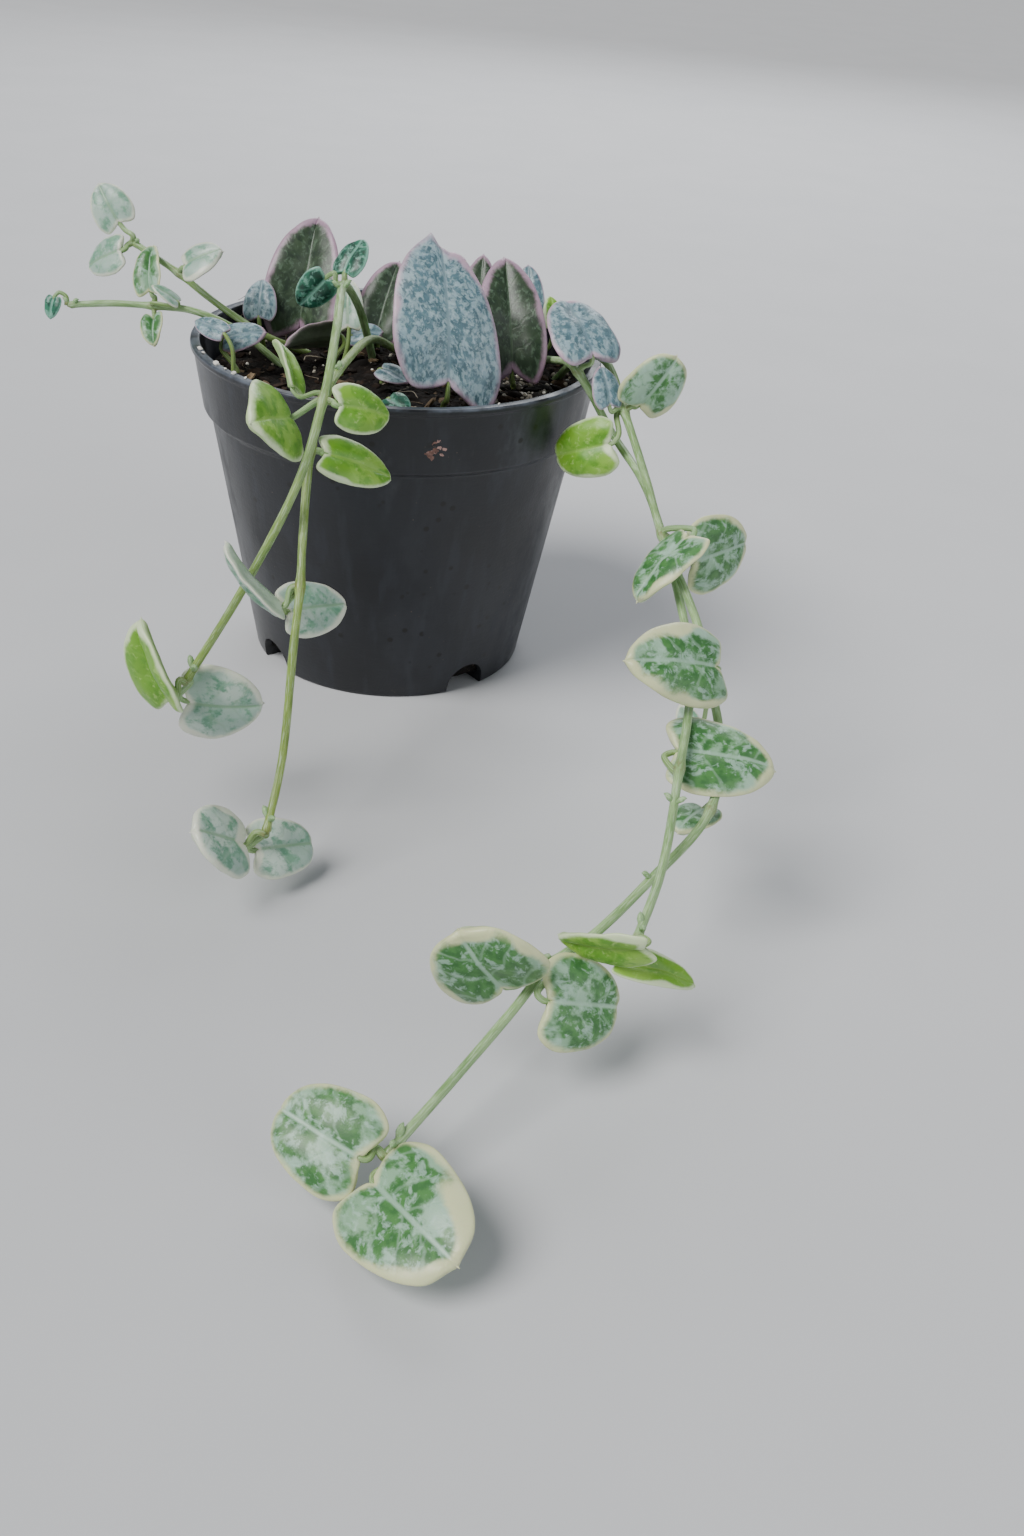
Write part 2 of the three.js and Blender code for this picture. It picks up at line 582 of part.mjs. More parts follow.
const plant = new THREE.Group();
plant.add(pot(), soil());
for (const [name, points] of Object.entries(STEMS)) plant.add(stem(name, points));
for (const leaf of LEAVES) plant.add(leafMesh(leaf));

export default plant;
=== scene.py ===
"""A variegated string of hearts in its nursery pot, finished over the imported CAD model. Lengths in metres."""
import json
import math
import random

import bpy
import numpy as np
from mathutils import Matrix, Vector, noise
from mathutils.bvhtree import BVHTree


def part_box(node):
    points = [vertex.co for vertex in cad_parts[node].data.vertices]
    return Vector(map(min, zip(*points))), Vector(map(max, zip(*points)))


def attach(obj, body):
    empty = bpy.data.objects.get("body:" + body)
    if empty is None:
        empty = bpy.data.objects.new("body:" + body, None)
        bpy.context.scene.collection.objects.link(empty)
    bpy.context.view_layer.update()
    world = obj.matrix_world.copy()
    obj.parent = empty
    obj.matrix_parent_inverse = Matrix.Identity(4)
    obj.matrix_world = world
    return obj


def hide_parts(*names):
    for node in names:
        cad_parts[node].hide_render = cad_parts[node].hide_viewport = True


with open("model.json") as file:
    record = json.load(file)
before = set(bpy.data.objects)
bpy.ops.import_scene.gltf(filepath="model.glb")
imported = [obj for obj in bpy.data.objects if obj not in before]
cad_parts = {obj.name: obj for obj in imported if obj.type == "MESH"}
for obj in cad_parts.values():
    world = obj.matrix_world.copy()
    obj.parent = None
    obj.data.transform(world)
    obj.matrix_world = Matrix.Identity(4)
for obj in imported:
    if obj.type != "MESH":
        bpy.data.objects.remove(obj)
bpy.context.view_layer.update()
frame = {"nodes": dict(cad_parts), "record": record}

MM = 0.001
BODY = "root"
SLOT_OF = {part["node"]: part["material_slot"] for part in frame["record"]["subparts"]}
STRANDS = ("front_a", "front_b", "left_a", "left_b", "right_a", "right_b")

# ---- Camera, floor and light

CAMERA_AT = Vector((0, -0.2207, 0.1124))
CAMERA_YAW, CAMERA_PITCH, CAMERA_ROLL = 5.78, 31.77, 5.11  # degrees: to the right, down, anticlockwise
SENSOR = 36
LENS = 35.16
KEY_WIDTH = 32  # degrees across


def make_camera():
    yaw, pitch, roll = (math.radians(a) for a in (CAMERA_YAW, CAMERA_PITCH, CAMERA_ROLL))
    ahead = Vector((math.sin(yaw) * math.cos(pitch), math.cos(yaw) * math.cos(pitch), -math.sin(pitch)))
    level = ahead.cross(Vector((0, 0, 1))).normalized()
    upright = level.cross(ahead)
    across = level * math.cos(roll) + upright * math.sin(roll)
    up = upright * math.cos(roll) - level * math.sin(roll)
    camera = bpy.data.objects.new("camera", bpy.data.cameras.new("camera"))
    camera.data.sensor_width = SENSOR
    camera.data.lens = LENS
    camera.data.clip_start = 0.005
    turn = Matrix((across, up, -ahead)).transposed()
    camera.matrix_world = Matrix.Translation(CAMERA_AT) @ turn.to_4x4()
    bpy.context.scene.collection.objects.link(camera)
    bpy.context.scene.camera = camera


def soft_light(name, at, size, power, colour):
    light = bpy.data.lights.new(name, "AREA")
    light.size = size
    light.energy = power
    light.color = colour
    lamp = bpy.data.objects.new(name, light)
    lamp.location = at
    lamp.rotation_euler = (Vector((0, -0.03, 0.03)) - Vector(at)).to_track_quat("-Z", "Y").to_euler()
    bpy.context.scene.collection.objects.link(lamp)


def make_light():
    # The key is as wide in the sky as a softbox, and lights the far floor as brightly as the near.
    key = bpy.data.lights.new("key", "SUN")
    key.angle = math.radians(KEY_WIDTH)
    key.energy = 3.4
    key.color = (1.0, 0.985, 0.96)
    lamp = bpy.data.objects.new("key", key)
    lamp.rotation_euler = Vector((0.42, 0.25, -0.6)).to_track_quat("-Z", "Y").to_euler()
    bpy.context.scene.collection.objects.link(lamp)
    soft_light("fill", (0.55, -0.5, 0.35), 0.6, 1.6, (0.93, 0.96, 1.0))
    soft_light("back", (0.15, 0.6, 0.45), 0.5, 2.6, (0.95, 0.97, 1.0))
    world = bpy.data.worlds.new("studio")
    world.use_nodes = True
    world.node_tree.nodes["Background"].inputs["Color"].default_value = (0.78, 0.81, 0.85, 1)
    world.node_tree.nodes["Background"].inputs["Strength"].default_value = 0.26
    bpy.context.scene.world = world


# ---- Materials

def linear(code):
    """The linear colour of a web colour, such as a9c08a."""
    shares = [int(code[i:i + 2], 16) / 255 for i in (0, 2, 4)]
    return tuple(s / 12.92 if s <= 0.04045 else ((s + 0.055) / 1.055) ** 2.4 for s in shares) + (1.0,)


class Shade:
    """A Principled material, with a short method for each kind of node that the finishes use."""

    def __init__(self, name, **constants):
        self.material = bpy.data.materials.new(name)
        self.material.use_nodes = True
        self.tree = self.material.node_tree
        self.shader = self.tree.nodes["Principled BSDF"]
        for socket, value in constants.items():
            self.shader.inputs[socket.replace("_", " ")].default_value = value

    def node(self, kind, settings=(), **sockets):
        made = self.tree.nodes.new("ShaderNode" + kind)
        for key, value in dict(settings).items():
            setattr(made, key, value)
        for key, value in sockets.items():
            self.put(made.inputs[int(key[1:]) if key[1:].isdigit() else key], value)
        return made

    def put(self, socket, value):
        if isinstance(value, bpy.types.NodeSocket):
            self.tree.links.new(value, socket)
        elif isinstance(value, str):
            socket.default_value = linear(value)
        else:
            socket.default_value = value

    def place(self):
        return self.node("TexCoord").outputs["Object"]

    def attribute(self, name):
        return self.node("Attribute", {"attribute_name": name}).outputs["Vector"]

    def value(self, name):
        return self.node("Attribute", {"attribute_name": name}).outputs["Fac"]

    def part(self, vector, axis):
        return self.node("SeparateXYZ", _0=vector).outputs[axis]

    def stretched(self, vector, scale):
        return self.node("Mapping", _0=vector, _3=scale).outputs[0]

    def noise(self, vector, scale, detail=3.0, roughness=0.55, distortion=0.0):
        made = self.node("TexNoise", Vector=vector, Scale=scale, Detail=detail, Roughness=roughness,
                         Distortion=distortion)
        return made.outputs[0]

    def cells(self, vector, scale, feature="F1"):
        return self.node("TexVoronoi", {"feature": feature}, Vector=vector, Scale=scale).outputs["Distance"]

    def step(self, value, low, high):
        """0 below low and 1 above high, or the other way round if low is the greater."""
        settings = {"interpolation_type": "SMOOTHSTEP"}
        if low <= high:
            return self.node("MapRange", settings, _0=value, _1=low, _2=high).outputs[0]
        return self.node("MapRange", settings, _0=value, _1=high, _2=low, _3=1.0, _4=0.0).outputs[0]

    def sum(self, how, a, b=0.0, c=0.0):
        return self.node("Math", {"operation": how}, _0=a, _1=b, _2=c).outputs[0]

    def mix(self, share, a, b):
        return self.node("Mix", {"data_type": "RGBA"}, _0=share, _6=a, _7=b).outputs[2]

    def finish(self, colour, height=None, depth=0.0001, strength=1.0, roughness=None):
        self.put(self.shader.inputs["Base Color"], colour)
        if roughness is not None:
            self.put(self.shader.inputs["Roughness"], roughness)
        if height is not None:
            bump = self.node("Bump", Height=height, Distance=depth, Strength=strength)
            self.put(self.shader.inputs["Normal"], bump.outputs[0])
        return self.material


SIDE_VEINS = 0.3  # how strongly the side veins show beside the midrib

# The leaves' colourings. Each has a ground of two colours, blotches and fine flecks over it, the colour of
# the midrib and veins, and a margin whose width is a share of half the leaf's width. Pale sectors spread
# inwards from the margin where a slow noise passes the sector figure.
LEAF_LOOKS = {
    "leaf_marbled": dict(
        ground=("86ae8c", "9fc2aa"), blotch=("376b35", "4c8343"), blotch_size=0.34, blotch_share=0.64,
        fleck="a9cbb9", fleck_size=0.9, fleck_share=0.42, vein="a3c6ae", vein_share=0.5,
        edge="d3d8a9", edge_width=0.07, ragged=0.3, sector=0.63, back="93ab8b"),
    "leaf_silver": dict(
        ground=("84a0ab", "98b1b9"), blotch=("46646e", "587984"), blotch_size=0.95, blotch_share=0.7,
        fleck="a3bac1", fleck_size=1.5, fleck_share=0.5, vein="4b6872", vein_share=0.5,
        edge="bfa3b6", edge_width=0.045, ragged=0.2, sector=0.72, back="8b9c98"),
    "leaf_fresh": dict(
        ground=("70a628", "8cbb44"), blotch=("5a941c", "6ba52b"), blotch_size=0.45, blotch_share=0.45,
        fleck="a5cb6b", fleck_size=1.2, fleck_share=0.3, vein="9fc766", vein_share=0.35,
        edge="d5e6ba", edge_width=0.06, ragged=0.3, sector=0.64, back="a3c07a"),
    "leaf_pale": dict(
        ground=("a3bdb0", "c0d2c6"), blotch=("64967c", "7ba88c"), blotch_size=0.5, blotch_share=0.42,
        fleck="93b8a4", fleck_size=1.5, fleck_share=0.4, vein="6c9c66", vein_share=0.55,
        edge="dde1cf", edge_width=0.08, ragged=0.35, sector=0.62, back="aebfa6"),
    "leaf_olive": dict(
        ground=("2c4029", "3e5238"), blotch=("1d3120", "2a3f27"), blotch_size=0.5, blotch_share=0.5,
        fleck="5b735c", fleck_size=1.2, fleck_share=0.42, vein="587058", vein_share=0.3,
        edge="a98ba0", edge_width=0.12, ragged=0.4, sector=0.7, back="7b8272"),
    "leaf_young": dict(
        ground=("1f5c47", "357a61"), blotch=("0d3a2c", "174b3a"), blotch_size=0.7, blotch_share=0.55,
        fleck="86bba8", fleck_size=1.5, fleck_share=0.42, vein="7fb5a1", vein_share=0.7,
        edge="7fb3a0", edge_width=0.06, ragged=0.3, sector=0.75, back="4c7d6a"),
}


def leaf_material(kind):
    """Reads from the mesh: blade (millimetres across and along, and a seed), edge (how far in from the
    margin, as a share of half the width) and under (1 on the underside)."""
    look = LEAF_LOOKS[kind]
    s = Shade(kind, Subsurface_Weight=0.12, Subsurface_Scale=0.0012, Subsurface_Radius=(0.6, 1.0, 0.35),
              Coat_Weight=0.22, Coat_Roughness=0.32)
    blade = s.attribute("blade")
    across = s.sum("ABSOLUTE", s.part(blade, 0))
    along = s.part(blade, 1)
    inward = s.value("edge")
    drift = s.noise(blade, 0.16, detail=1)
    colour = s.mix(s.step(drift, 0.4, 0.6), *look["ground"])

    # Side veins run forward from the midrib.
    wander = s.sum("MULTIPLY", s.noise(blade, 0.5, detail=1), 1.6)
    run = s.sum("SUBTRACT", s.sum("ADD", along, wander), s.sum("MULTIPLY", across, 0.75))
    vein_line = s.step(s.sum("PINGPONG", run, 1.5), 0.3, 0.02)
    midrib = s.step(across, 0.42, 0.08)
    veins = s.sum("MAXIMUM", midrib, s.sum("MULTIPLY", vein_line, SIDE_VEINS))

    blotch = s.noise(blade, look["blotch_size"], detail=5, roughness=0.6, distortion=0.15)
    edge_of_blotch = 0.66 - 0.3 * look["blotch_share"]
    blotch = s.sum("ADD", blotch, s.sum("MULTIPLY", s.step(inward, 0.0, 0.45), 0.05))
    blotches = s.step(blotch, edge_of_blotch - 0.02, edge_of_blotch + 0.1)
    away_from_veins = s.sum("SUBTRACT", 1.0, s.sum("MULTIPLY", veins, 0.85))
    shades = s.mix(s.step(s.noise(blade, 1.1), 0.35, 0.65), *look["blotch"])
    colour = s.mix(s.sum("MULTIPLY", blotches, away_from_veins), colour, shades)

    fleck = s.noise(blade, look["fleck_size"], detail=3, roughness=0.65, distortion=0.4)
    edge_of_fleck = 0.7 - 0.35 * look["fleck_share"]
    flecks = s.step(fleck, edge_of_fleck - 0.05, edge_of_fleck + 0.09)
    colour = s.mix(s.sum("MULTIPLY", flecks, 0.65), colour, look["fleck"])
    colour = s.mix(s.sum("MULTIPLY", veins, look["vein_share"]), colour, look["vein"])

    torn_line = s.noise(blade, 0.33, detail=5, roughness=0.65)
    rag = s.sum("MULTIPLY", s.sum("SUBTRACT", torn_line, 0.5), look["ragged"])
    slow = s.noise(blade, 0.15, detail=1)
    sector = s.sum("MULTIPLY", s.step(slow, look["sector"] - 0.14, look["sector"] + 0.16), 0.3)
    reach = s.sum("SUBTRACT", s.sum("ADD", inward, rag), sector)
    margin = s.step(reach, look["edge_width"] + 0.09, look["edge_width"] - 0.06)
    outline = s.step(inward, 0.06, 0.015)
    colour = s.mix(s.sum("MAXIMUM", margin, s.sum("MULTIPLY", outline, 0.75)), colour, look["edge"])
    colour = s.mix(s.sum("MULTIPLY", s.value("under"), 0.62), colour, look["back"])

    grain = s.noise(blade, 7.0, detail=2)
    pits = s.sum("MULTIPLY", s.sum("SUBTRACT", 1.0, veins), 0.7)
    height = s.sum("ADD", pits, s.sum("MULTIPLY", s.sum("ADD", grain, s.sum("MULTIPLY", flecks, 0.5)), 0.28))
    roughness = s.sum("MULTIPLY_ADD", s.noise(blade, 1.2), 0.22, 0.3)
    return s.finish(colour, height, depth=0.00009, strength=0.7, roughness=roughness)


def stem_material():
    """Reads from the mesh: stem (millimetres along, the angle round and a seed), tone (0 mint to 1 olive) and
    joint (1 at a leaf joint)."""
    s = Shade("stem", Subsurface_Weight=0.12, Subsurface_Scale=0.001, Subsurface_Radius=(0.6, 1.0, 0.35))
    stem = s.attribute("stem")
    mint = s.mix(s.step(s.noise(stem, 0.25), 0.35, 0.65), "86ad78", "a6c795")
    olive = s.mix(s.step(s.noise(stem, 0.3), 0.35, 0.65), "6b8320", "87a038")
    colour = s.mix(s.value("tone"), mint, olive)
    streaks = s.noise(s.stretched(stem, (0.35, 2.2, 1.0)), 1.4, detail=2)
    colour = s.mix(s.sum("MULTIPLY", s.step(streaks, 0.5, 0.62), 0.4), colour, "c9dcc0")
    colour = s.mix(s.sum("MULTIPLY", s.step(streaks, 0.45, 0.33), 0.4), colour, "5f7d45")
    scar = s.sum("MULTIPLY", s.value("joint"), s.step(s.noise(stem, 1.3), 0.42, 0.6))
    colour = s.mix(s.sum("MULTIPLY", scar, 0.6), colour, "7a6a45")
    specks = s.step(s.noise(stem, 3.5, detail=1), 0.7, 0.76)
    colour = s.mix(s.sum("MULTIPLY", specks, 0.4), colour, "6d6a45")
    height = s.sum("ADD", streaks, s.sum("MULTIPLY", s.noise(stem, 5.0), 0.3))
    return s.finish(colour, height, depth=0.00006, strength=0.6, roughness=0.42)


def pot_material():
    s = Shade("pot_plastic", Specular_IOR_Level=0.5, Coat_Weight=0.06, Coat_Roughness=0.35)
    place = s.place()
    z = s.part(place, 2)
    colour = s.mix(s.step(s.noise(place, 55, detail=4), 0.35, 0.65), "101217", "191c23")
    runs = s.noise(s.stretched(place, (1.0, 1.0, 0.14)), 420, detail=3)
    colour = s.mix(s.sum("MULTIPLY", s.step(runs, 0.5, 0.72), 0.3), colour, "2e323c")
    smears = s.noise(s.stretched(place, (1.0, 1.0, 0.45)), 130, detail=5, roughness=0.65)
    high = s.step(z, 0.030, 0.046)
    dusty = s.sum("MULTIPLY", s.step(smears, 0.5, 0.7), s.sum("MULTIPLY_ADD", high, 0.42, 0.1))
    colour = s.mix(dusty, colour, "5a5c64")
    specks = s.step(s.cells(place, 420), 0.24, 0.12)
    soil_specks = s.sum("MULTIPLY", specks, s.step(s.noise(place, 110), 0.5, 0.56))
    colour = s.mix(s.sum("MULTIPLY", soil_specks, 0.95), colour, "060504")
    dust = s.sum("MULTIPLY", s.step(s.cells(place, 900), 0.1, 0.05), s.step(s.noise(place, 95), 0.58, 0.64))
    colour = s.mix(s.sum("MULTIPLY", dust, 0.6), colour, "6b5a4c")
    # Painted highlight: a thin line along the rim's top edge is lighter, as where light catches it, broken up
    # by noise.
    painted_rim_highlight = s.sum("MULTIPLY", s.step(z, 0.0475, 0.04785), s.step(s.noise(place, 260, detail=4), 0.3, 0.65))
    colour = s.mix(s.sum("MULTIPLY", painted_rim_highlight, 0.6), colour, "6c7684")
    scratches = s.noise(s.stretched(place, (1.0, 1.0, 5.0)), 300, detail=4, roughness=0.7)
    grain = s.noise(place, 2600, detail=1)
    raised = s.sum("ADD", s.sum("MULTIPLY", grain, 0.6), s.sum("MULTIPLY", dusty, 0.8))
    height = s.sum("ADD", scratches, raised)
    roughness = s.sum("MULTIPLY_ADD", s.step(smears, 0.4, 0.75), 0.3, 0.3)
    return s.finish(colour, height, depth=0.00005, strength=0.55, roughness=roughness)


def soil_material():
    s = Shade("soil_ground", Specular_IOR_Level=0.25)
    place = s.place()
    colour = s.mix(s.step(s.noise(place, 300, detail=5), 0.4, 0.65), "0c0907", "1d1611")
    colour = s.mix(s.sum("MULTIPLY", s.step(s.noise(place, 900, detail=3), 0.6, 0.7), 0.45), colour, "34281f")
    colour = s.mix(s.sum("MULTIPLY", s.step(s.cells(place, 900), 0.18, 0.1), 0.35), colour, "7b6e5e")
    height = s.sum("ADD", s.noise(place, 700, detail=5), s.cells(place, 1200))
    return s.finish(colour, height, depth=0.0004, strength=0.9, roughness=0.93)


def bits_material(name, dark, middle, pale, roughness):
    """Loose bits: each has its own tint, read from the mesh."""
    s = Shade(name, Specular_IOR_Level=0.3)
    place = s.place()
    tint = s.value("tint")
    colour = s.mix(s.step(tint, 0.0, 0.6), dark, middle)
    colour = s.mix(s.step(tint, 0.72, 1.0), colour, pale)
    grain = s.noise(s.stretched(place, (1.0, 0.35, 1.0)), 2200, detail=4)
    colour = s.mix(s.sum("MULTIPLY", s.step(grain, 0.52, 0.66), 0.5), colour, dark)
    return s.finish(colour, grain, depth=0.00015, strength=0.8, roughness=roughness)


def floor_material():
    s = Shade("floor", Specular_IOR_Level=0.3)
    place = s.place()
    colour = s.mix(s.noise(place, 30, detail=2), "c4c6c9", "cccdd0")
    return s.finish(colour, s.noise(place, 900), depth=0.00003, strength=0.3, roughness=0.75)


# ---- Meshes

def make_piece(name, points, faces, materials, attributes=None, face_slots=None, sharp=None):
    """A mesh object in the row frame. attributes maps a name to one number or one vector for each point."""
    mesh = bpy.data.meshes.new(name)
    mesh.from_pydata([tuple(p) for p in points], [], faces)
    for material in materials:
        mesh.materials.append(material)
    mesh.polygons.foreach_set("use_smooth", [True] * len(faces))
    if face_slots is not None:
        mesh.polygons.foreach_set("material_index", face_slots)
    for key, values in (attributes or {}).items():
        values = np.asarray(values, float)
        kind = "FLOAT_VECTOR" if values.ndim == 2 else "FLOAT"
        layer = mesh.attributes.new(key, kind, "POINT")
        layer.data.foreach_set("vector" if values.ndim == 2 else "value", values.ravel())
    mesh.validate()
    mesh.update()
    if sharp:
        mark_sharp(mesh, sharp)
    piece = bpy.data.objects.new(name, mesh)
    bpy.context.scene.collection.objects.link(piece)
    return piece


def mark_sharp(mesh, degrees):
    """Marks each edge whose faces meet at more than this angle, so that shading breaks there."""
    mesh.set_sharp_from_angle(angle=math.radians(degrees))


def hand_over(piece, slot, *nodes):
    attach(piece, BODY)
    if nodes:
        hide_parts(*nodes)
    return piece


def spline(points, at):
    """A Catmull-Rom curve through the rows of points, at parameters from 0 to the number of rows less one."""
    points = np.asarray(points, float)
    padded = np.concatenate([2 * points[:1] - points[1:2], points, 2 * points[-1:] - points[-2:-1]])
    at = np.asarray(at, float)
    span = np.minimum(at.astype(int), len(points) - 2)
    t = (at - span).reshape((-1,) + (1,) * (points.ndim - 1))
    a, b, c, d = (padded[span + k] for k in range(4))
    squared = (2 * a - 5 * b + 4 * c - d) * t ** 2
    return 0.5 * (2 * b + (c - a) * t + squared + (3 * b - a - 3 * c + d) * t ** 3)


def tube(path, radii, sides, side=None, ridges=0.0):
    """Points, faces and angles of a closed tube. ridges pulls two opposite sides in, which leaves grooves."""
    path = np.asarray(path, float)
    ahead = np.gradient(path, axis=0)
    ahead /= np.linalg.norm(ahead, axis=1)[:, None]
    side = np.array(side if side is not None else (0.3, 0.2, 1.0), float)
    points, angles = [path[0]], [0.0]
    for centre, tangent, radius in zip(path, ahead, radii):
        side = side - tangent * (side @ tangent)
        side /= np.linalg.norm(side)
        across = np.cross(tangent, side)
        for k in range(sides):
            angle = 2 * math.pi * k / sides
            reach = radius * (1 - ridges * math.exp(-(math.sin(angle) / 0.3) ** 2))
            points.append(centre + reach * (side * math.cos(angle) + across * math.sin(angle)))
            angles.append(angle)
    points.append(path[-1])
    angles.append(0.0)
    last = len(points) - 1
    at = lambda ring, k: 1 + ring * sides + k % sides
    rings = len(path)
    faces = [(0, at(0, k + 1), at(0, k)) for k in range(sides)]
    faces += [(at(r, k), at(r, k + 1), at(r + 1, k + 1), at(r + 1, k))
              for r in range(rings - 1) for k in range(sides)]
    faces += [(last, at(rings - 1, k), at(rings - 1, k + 1)) for k in range(sides)]
    return points, faces, angles


# ---- The CAD skins: rings of eight points between two end points

RING = 8
LEFT, TOP, RIGHT, BELOW = 0, 2, 4, 6
STALK_RINGS = 3
WELD = 1e-6


def skin_of(node):
    """The points of a CAD skin: its rings, each from its left point over the top, and its start and end."""
    mesh = frame["nodes"][node].data
    index, points, corner_of = {}, [], []
    for vertex in mesh.vertices:
        key = tuple(round(c / WELD) for c in vertex.co)
        if key not in index:
            index[key] = len(points)
            points.append(np.array(vertex.co))
        corner_of.append(index[key])
    near = [set() for _ in points]
    for polygon in mesh.polygons:
        corners = [corner_of[i] for i in polygon.vertices]
        for a, b in zip(corners, corners[1:] + corners[:1]):
            near[a].add(b)
            near[b].add(a)

    def layers_from(i):
        layers, done = [near[i]], {i} | near[i]
        while len(done) < len(points):
            layers.append(set().union(*(near[j] for j in layers[-1])) - done)
            done |= layers[-1]
        return layers

    poles = [i for i, around in enumerate(near) if len(around) == RING]
    poles = sorted(poles, key=lambda i: len(layers_from(i)))[-2:]
    if node.startswith("leaf_"):
        poles.sort(key=lambda i: sum(np.linalg.norm(points[j] - points[i]) for j in near[i]))
    else:
        poles.sort(key=lambda i: np.hypot(*points[i][:2]))
    start, end = poles
    layers = layers_from(start)[:-1]

    def walked(first, second, layer):
        walk = [first, second]
        while len(walk) < RING:
            walk.append(next(iter((near[walk[-1]] & layer) - {walk[-2]})))
        return walk

    # In the first ring, the point underneath is the one that has a single neighbour in the next.
    below = next(i for i in layers[0] if len(near[i] & layers[1]) == 1)
    ahead = sum(points[i] for i in layers[1]) - sum(points[i] for i in layers[0])
    middle = sum(points[i] for i in layers[0]) / RING
    leftward = np.cross(middle - points[below], ahead)
    beside = max(near[below] & layers[0], key=lambda i: (points[i] - points[below]) @ leftward)
    walk = walked(below, beside, layers[0])
    walk = [walk[(k + RING - BELOW) % RING] for k in range(RING)]
    rings = [[points[i] for i in walk]]
    for layer in layers[1:]:
        k = next(k for k in range(RING) if len(near[walk[k]] & layer) == 1)
        first = next(iter(near[walk[k]] & layer))
        second = next(iter((near[walk[(k + 1) % RING]] & layer) - {first}))
        walk = walked(first, second, layer)
        walk = [walk[(i - k) % RING] for i in range(RING)]
        rings.append([points[i] for i in walk])
    return np.array(rings), points[start], points[end]


# ---- Stems

STEM_SIDES = 14
STEM_STEPS = 5  # finer rings for each of the CAD's
ROOT_DEPTH = 2.2 * MM

# How green the strand is at its root and its tip, from 0, mint, to 1, olive, and how deep its grooves are.
STRAND_LOOKS = {
    "front_a": (0.05, 0.85, 0.1),
    "front_b": (0.55, 0.95, 0.08),
    "left_a": (0.75, 0.25, 0.1),
    "left_b": (0.45, 0.15, 0.1),
    "right_a": (0.3, 0.2, 0.2),
    "right_b": (0.35, 0.2, 0.2),
}


def strand_path(strand):
    rings, _, _ = skin_of("stem_" + strand)
    centres = rings.mean(axis=1)
    radii = np.linalg.norm(rings[:, LEFT] - centres, axis=1)
    ahead = centres[1] - centres[0]
    root = centres[0] - ROOT_DEPTH * ahead / np.linalg.norm(ahead)
    controls = np.concatenate([[root], centres])
    at = np.linspace(0, len(controls) - 1, (len(controls) - 1) * STEM_STEPS + 1)
    path = spline(controls, at)
    thick = np.interp(at, range(len(controls)), np.concatenate([[radii[0]], radii]))
    return path, thick


PATHS = {strand: strand_path(strand) for strand in STRANDS}


def make_stem(strand, joints, material):
    path, radii = PATHS[strand]
    run = np.concatenate([[0], np.cumsum(np.linalg.norm(np.diff(path, axis=0), axis=1))])
    swell = np.zeros(len(path))
    for joint in joints:
        middle = run[np.argmin(np.linalg.norm(path - joint, axis=1))]
        swell = np.maximum(swell, np.exp(-((run - middle) / (0.9 * MM)) ** 2))
    rng = random.Random(strand)
    uneven = np.array([noise.noise(Vector((r / MM * 0.22, rng.random() * 0.01, len(strand)))) for r in run])
    ends = np.minimum(1, np.sqrt(np.maximum(0, (run[-1] - run) / (0.5 * MM))) + 0.35)
    thick = radii * (1 + 0.32 * swell + 0.07 * uneven) * ends
    root_tone, tip_tone, ridges = STRAND_LOOKS[strand]
    points, faces, angles = tube(path, thick, STEM_SIDES, ridges=ridges)
    share = np.repeat(run, STEM_SIDES)
    share = np.concatenate([[0], share, [run[-1]]])
    knob = np.concatenate([[0], np.repeat(swell, STEM_SIDES), [0]])
    tone = root_tone + (tip_tone - root_tone) * share / run[-1]
    seed = rng.random() * 50
    stem = [(along / MM, angle, seed) for along, angle in zip(share, angles)]
    attributes = {"stem": stem, "tone": tone, "joint": knob}
    piece = make_piece(f"vine_{strand}", points, faces, [material], attributes)
    return hand_over(piece, "stem", "stem_" + strand)


# ---- Leaves

ROWS_PER_SPAN = 6
COLUMNS = 24
HALF_THICKNESS = 0.72 * MM
MARGIN_ROUNDNESS = 2.5
GROOVE_DEPTH = 0.17 * MM
GROOVE_WIDTH = 0.42 * MM
RIDGE_HEIGHT = 0.2 * MM
STALK_SIDES = 10
MUCRO_LENGTH = 0.25 * MM
MUCRO_RADII = [0.3, 0.3, 0.27, 0.22, 0.17, 0.13, 0.1, 0.07, 0.045, 0.015]


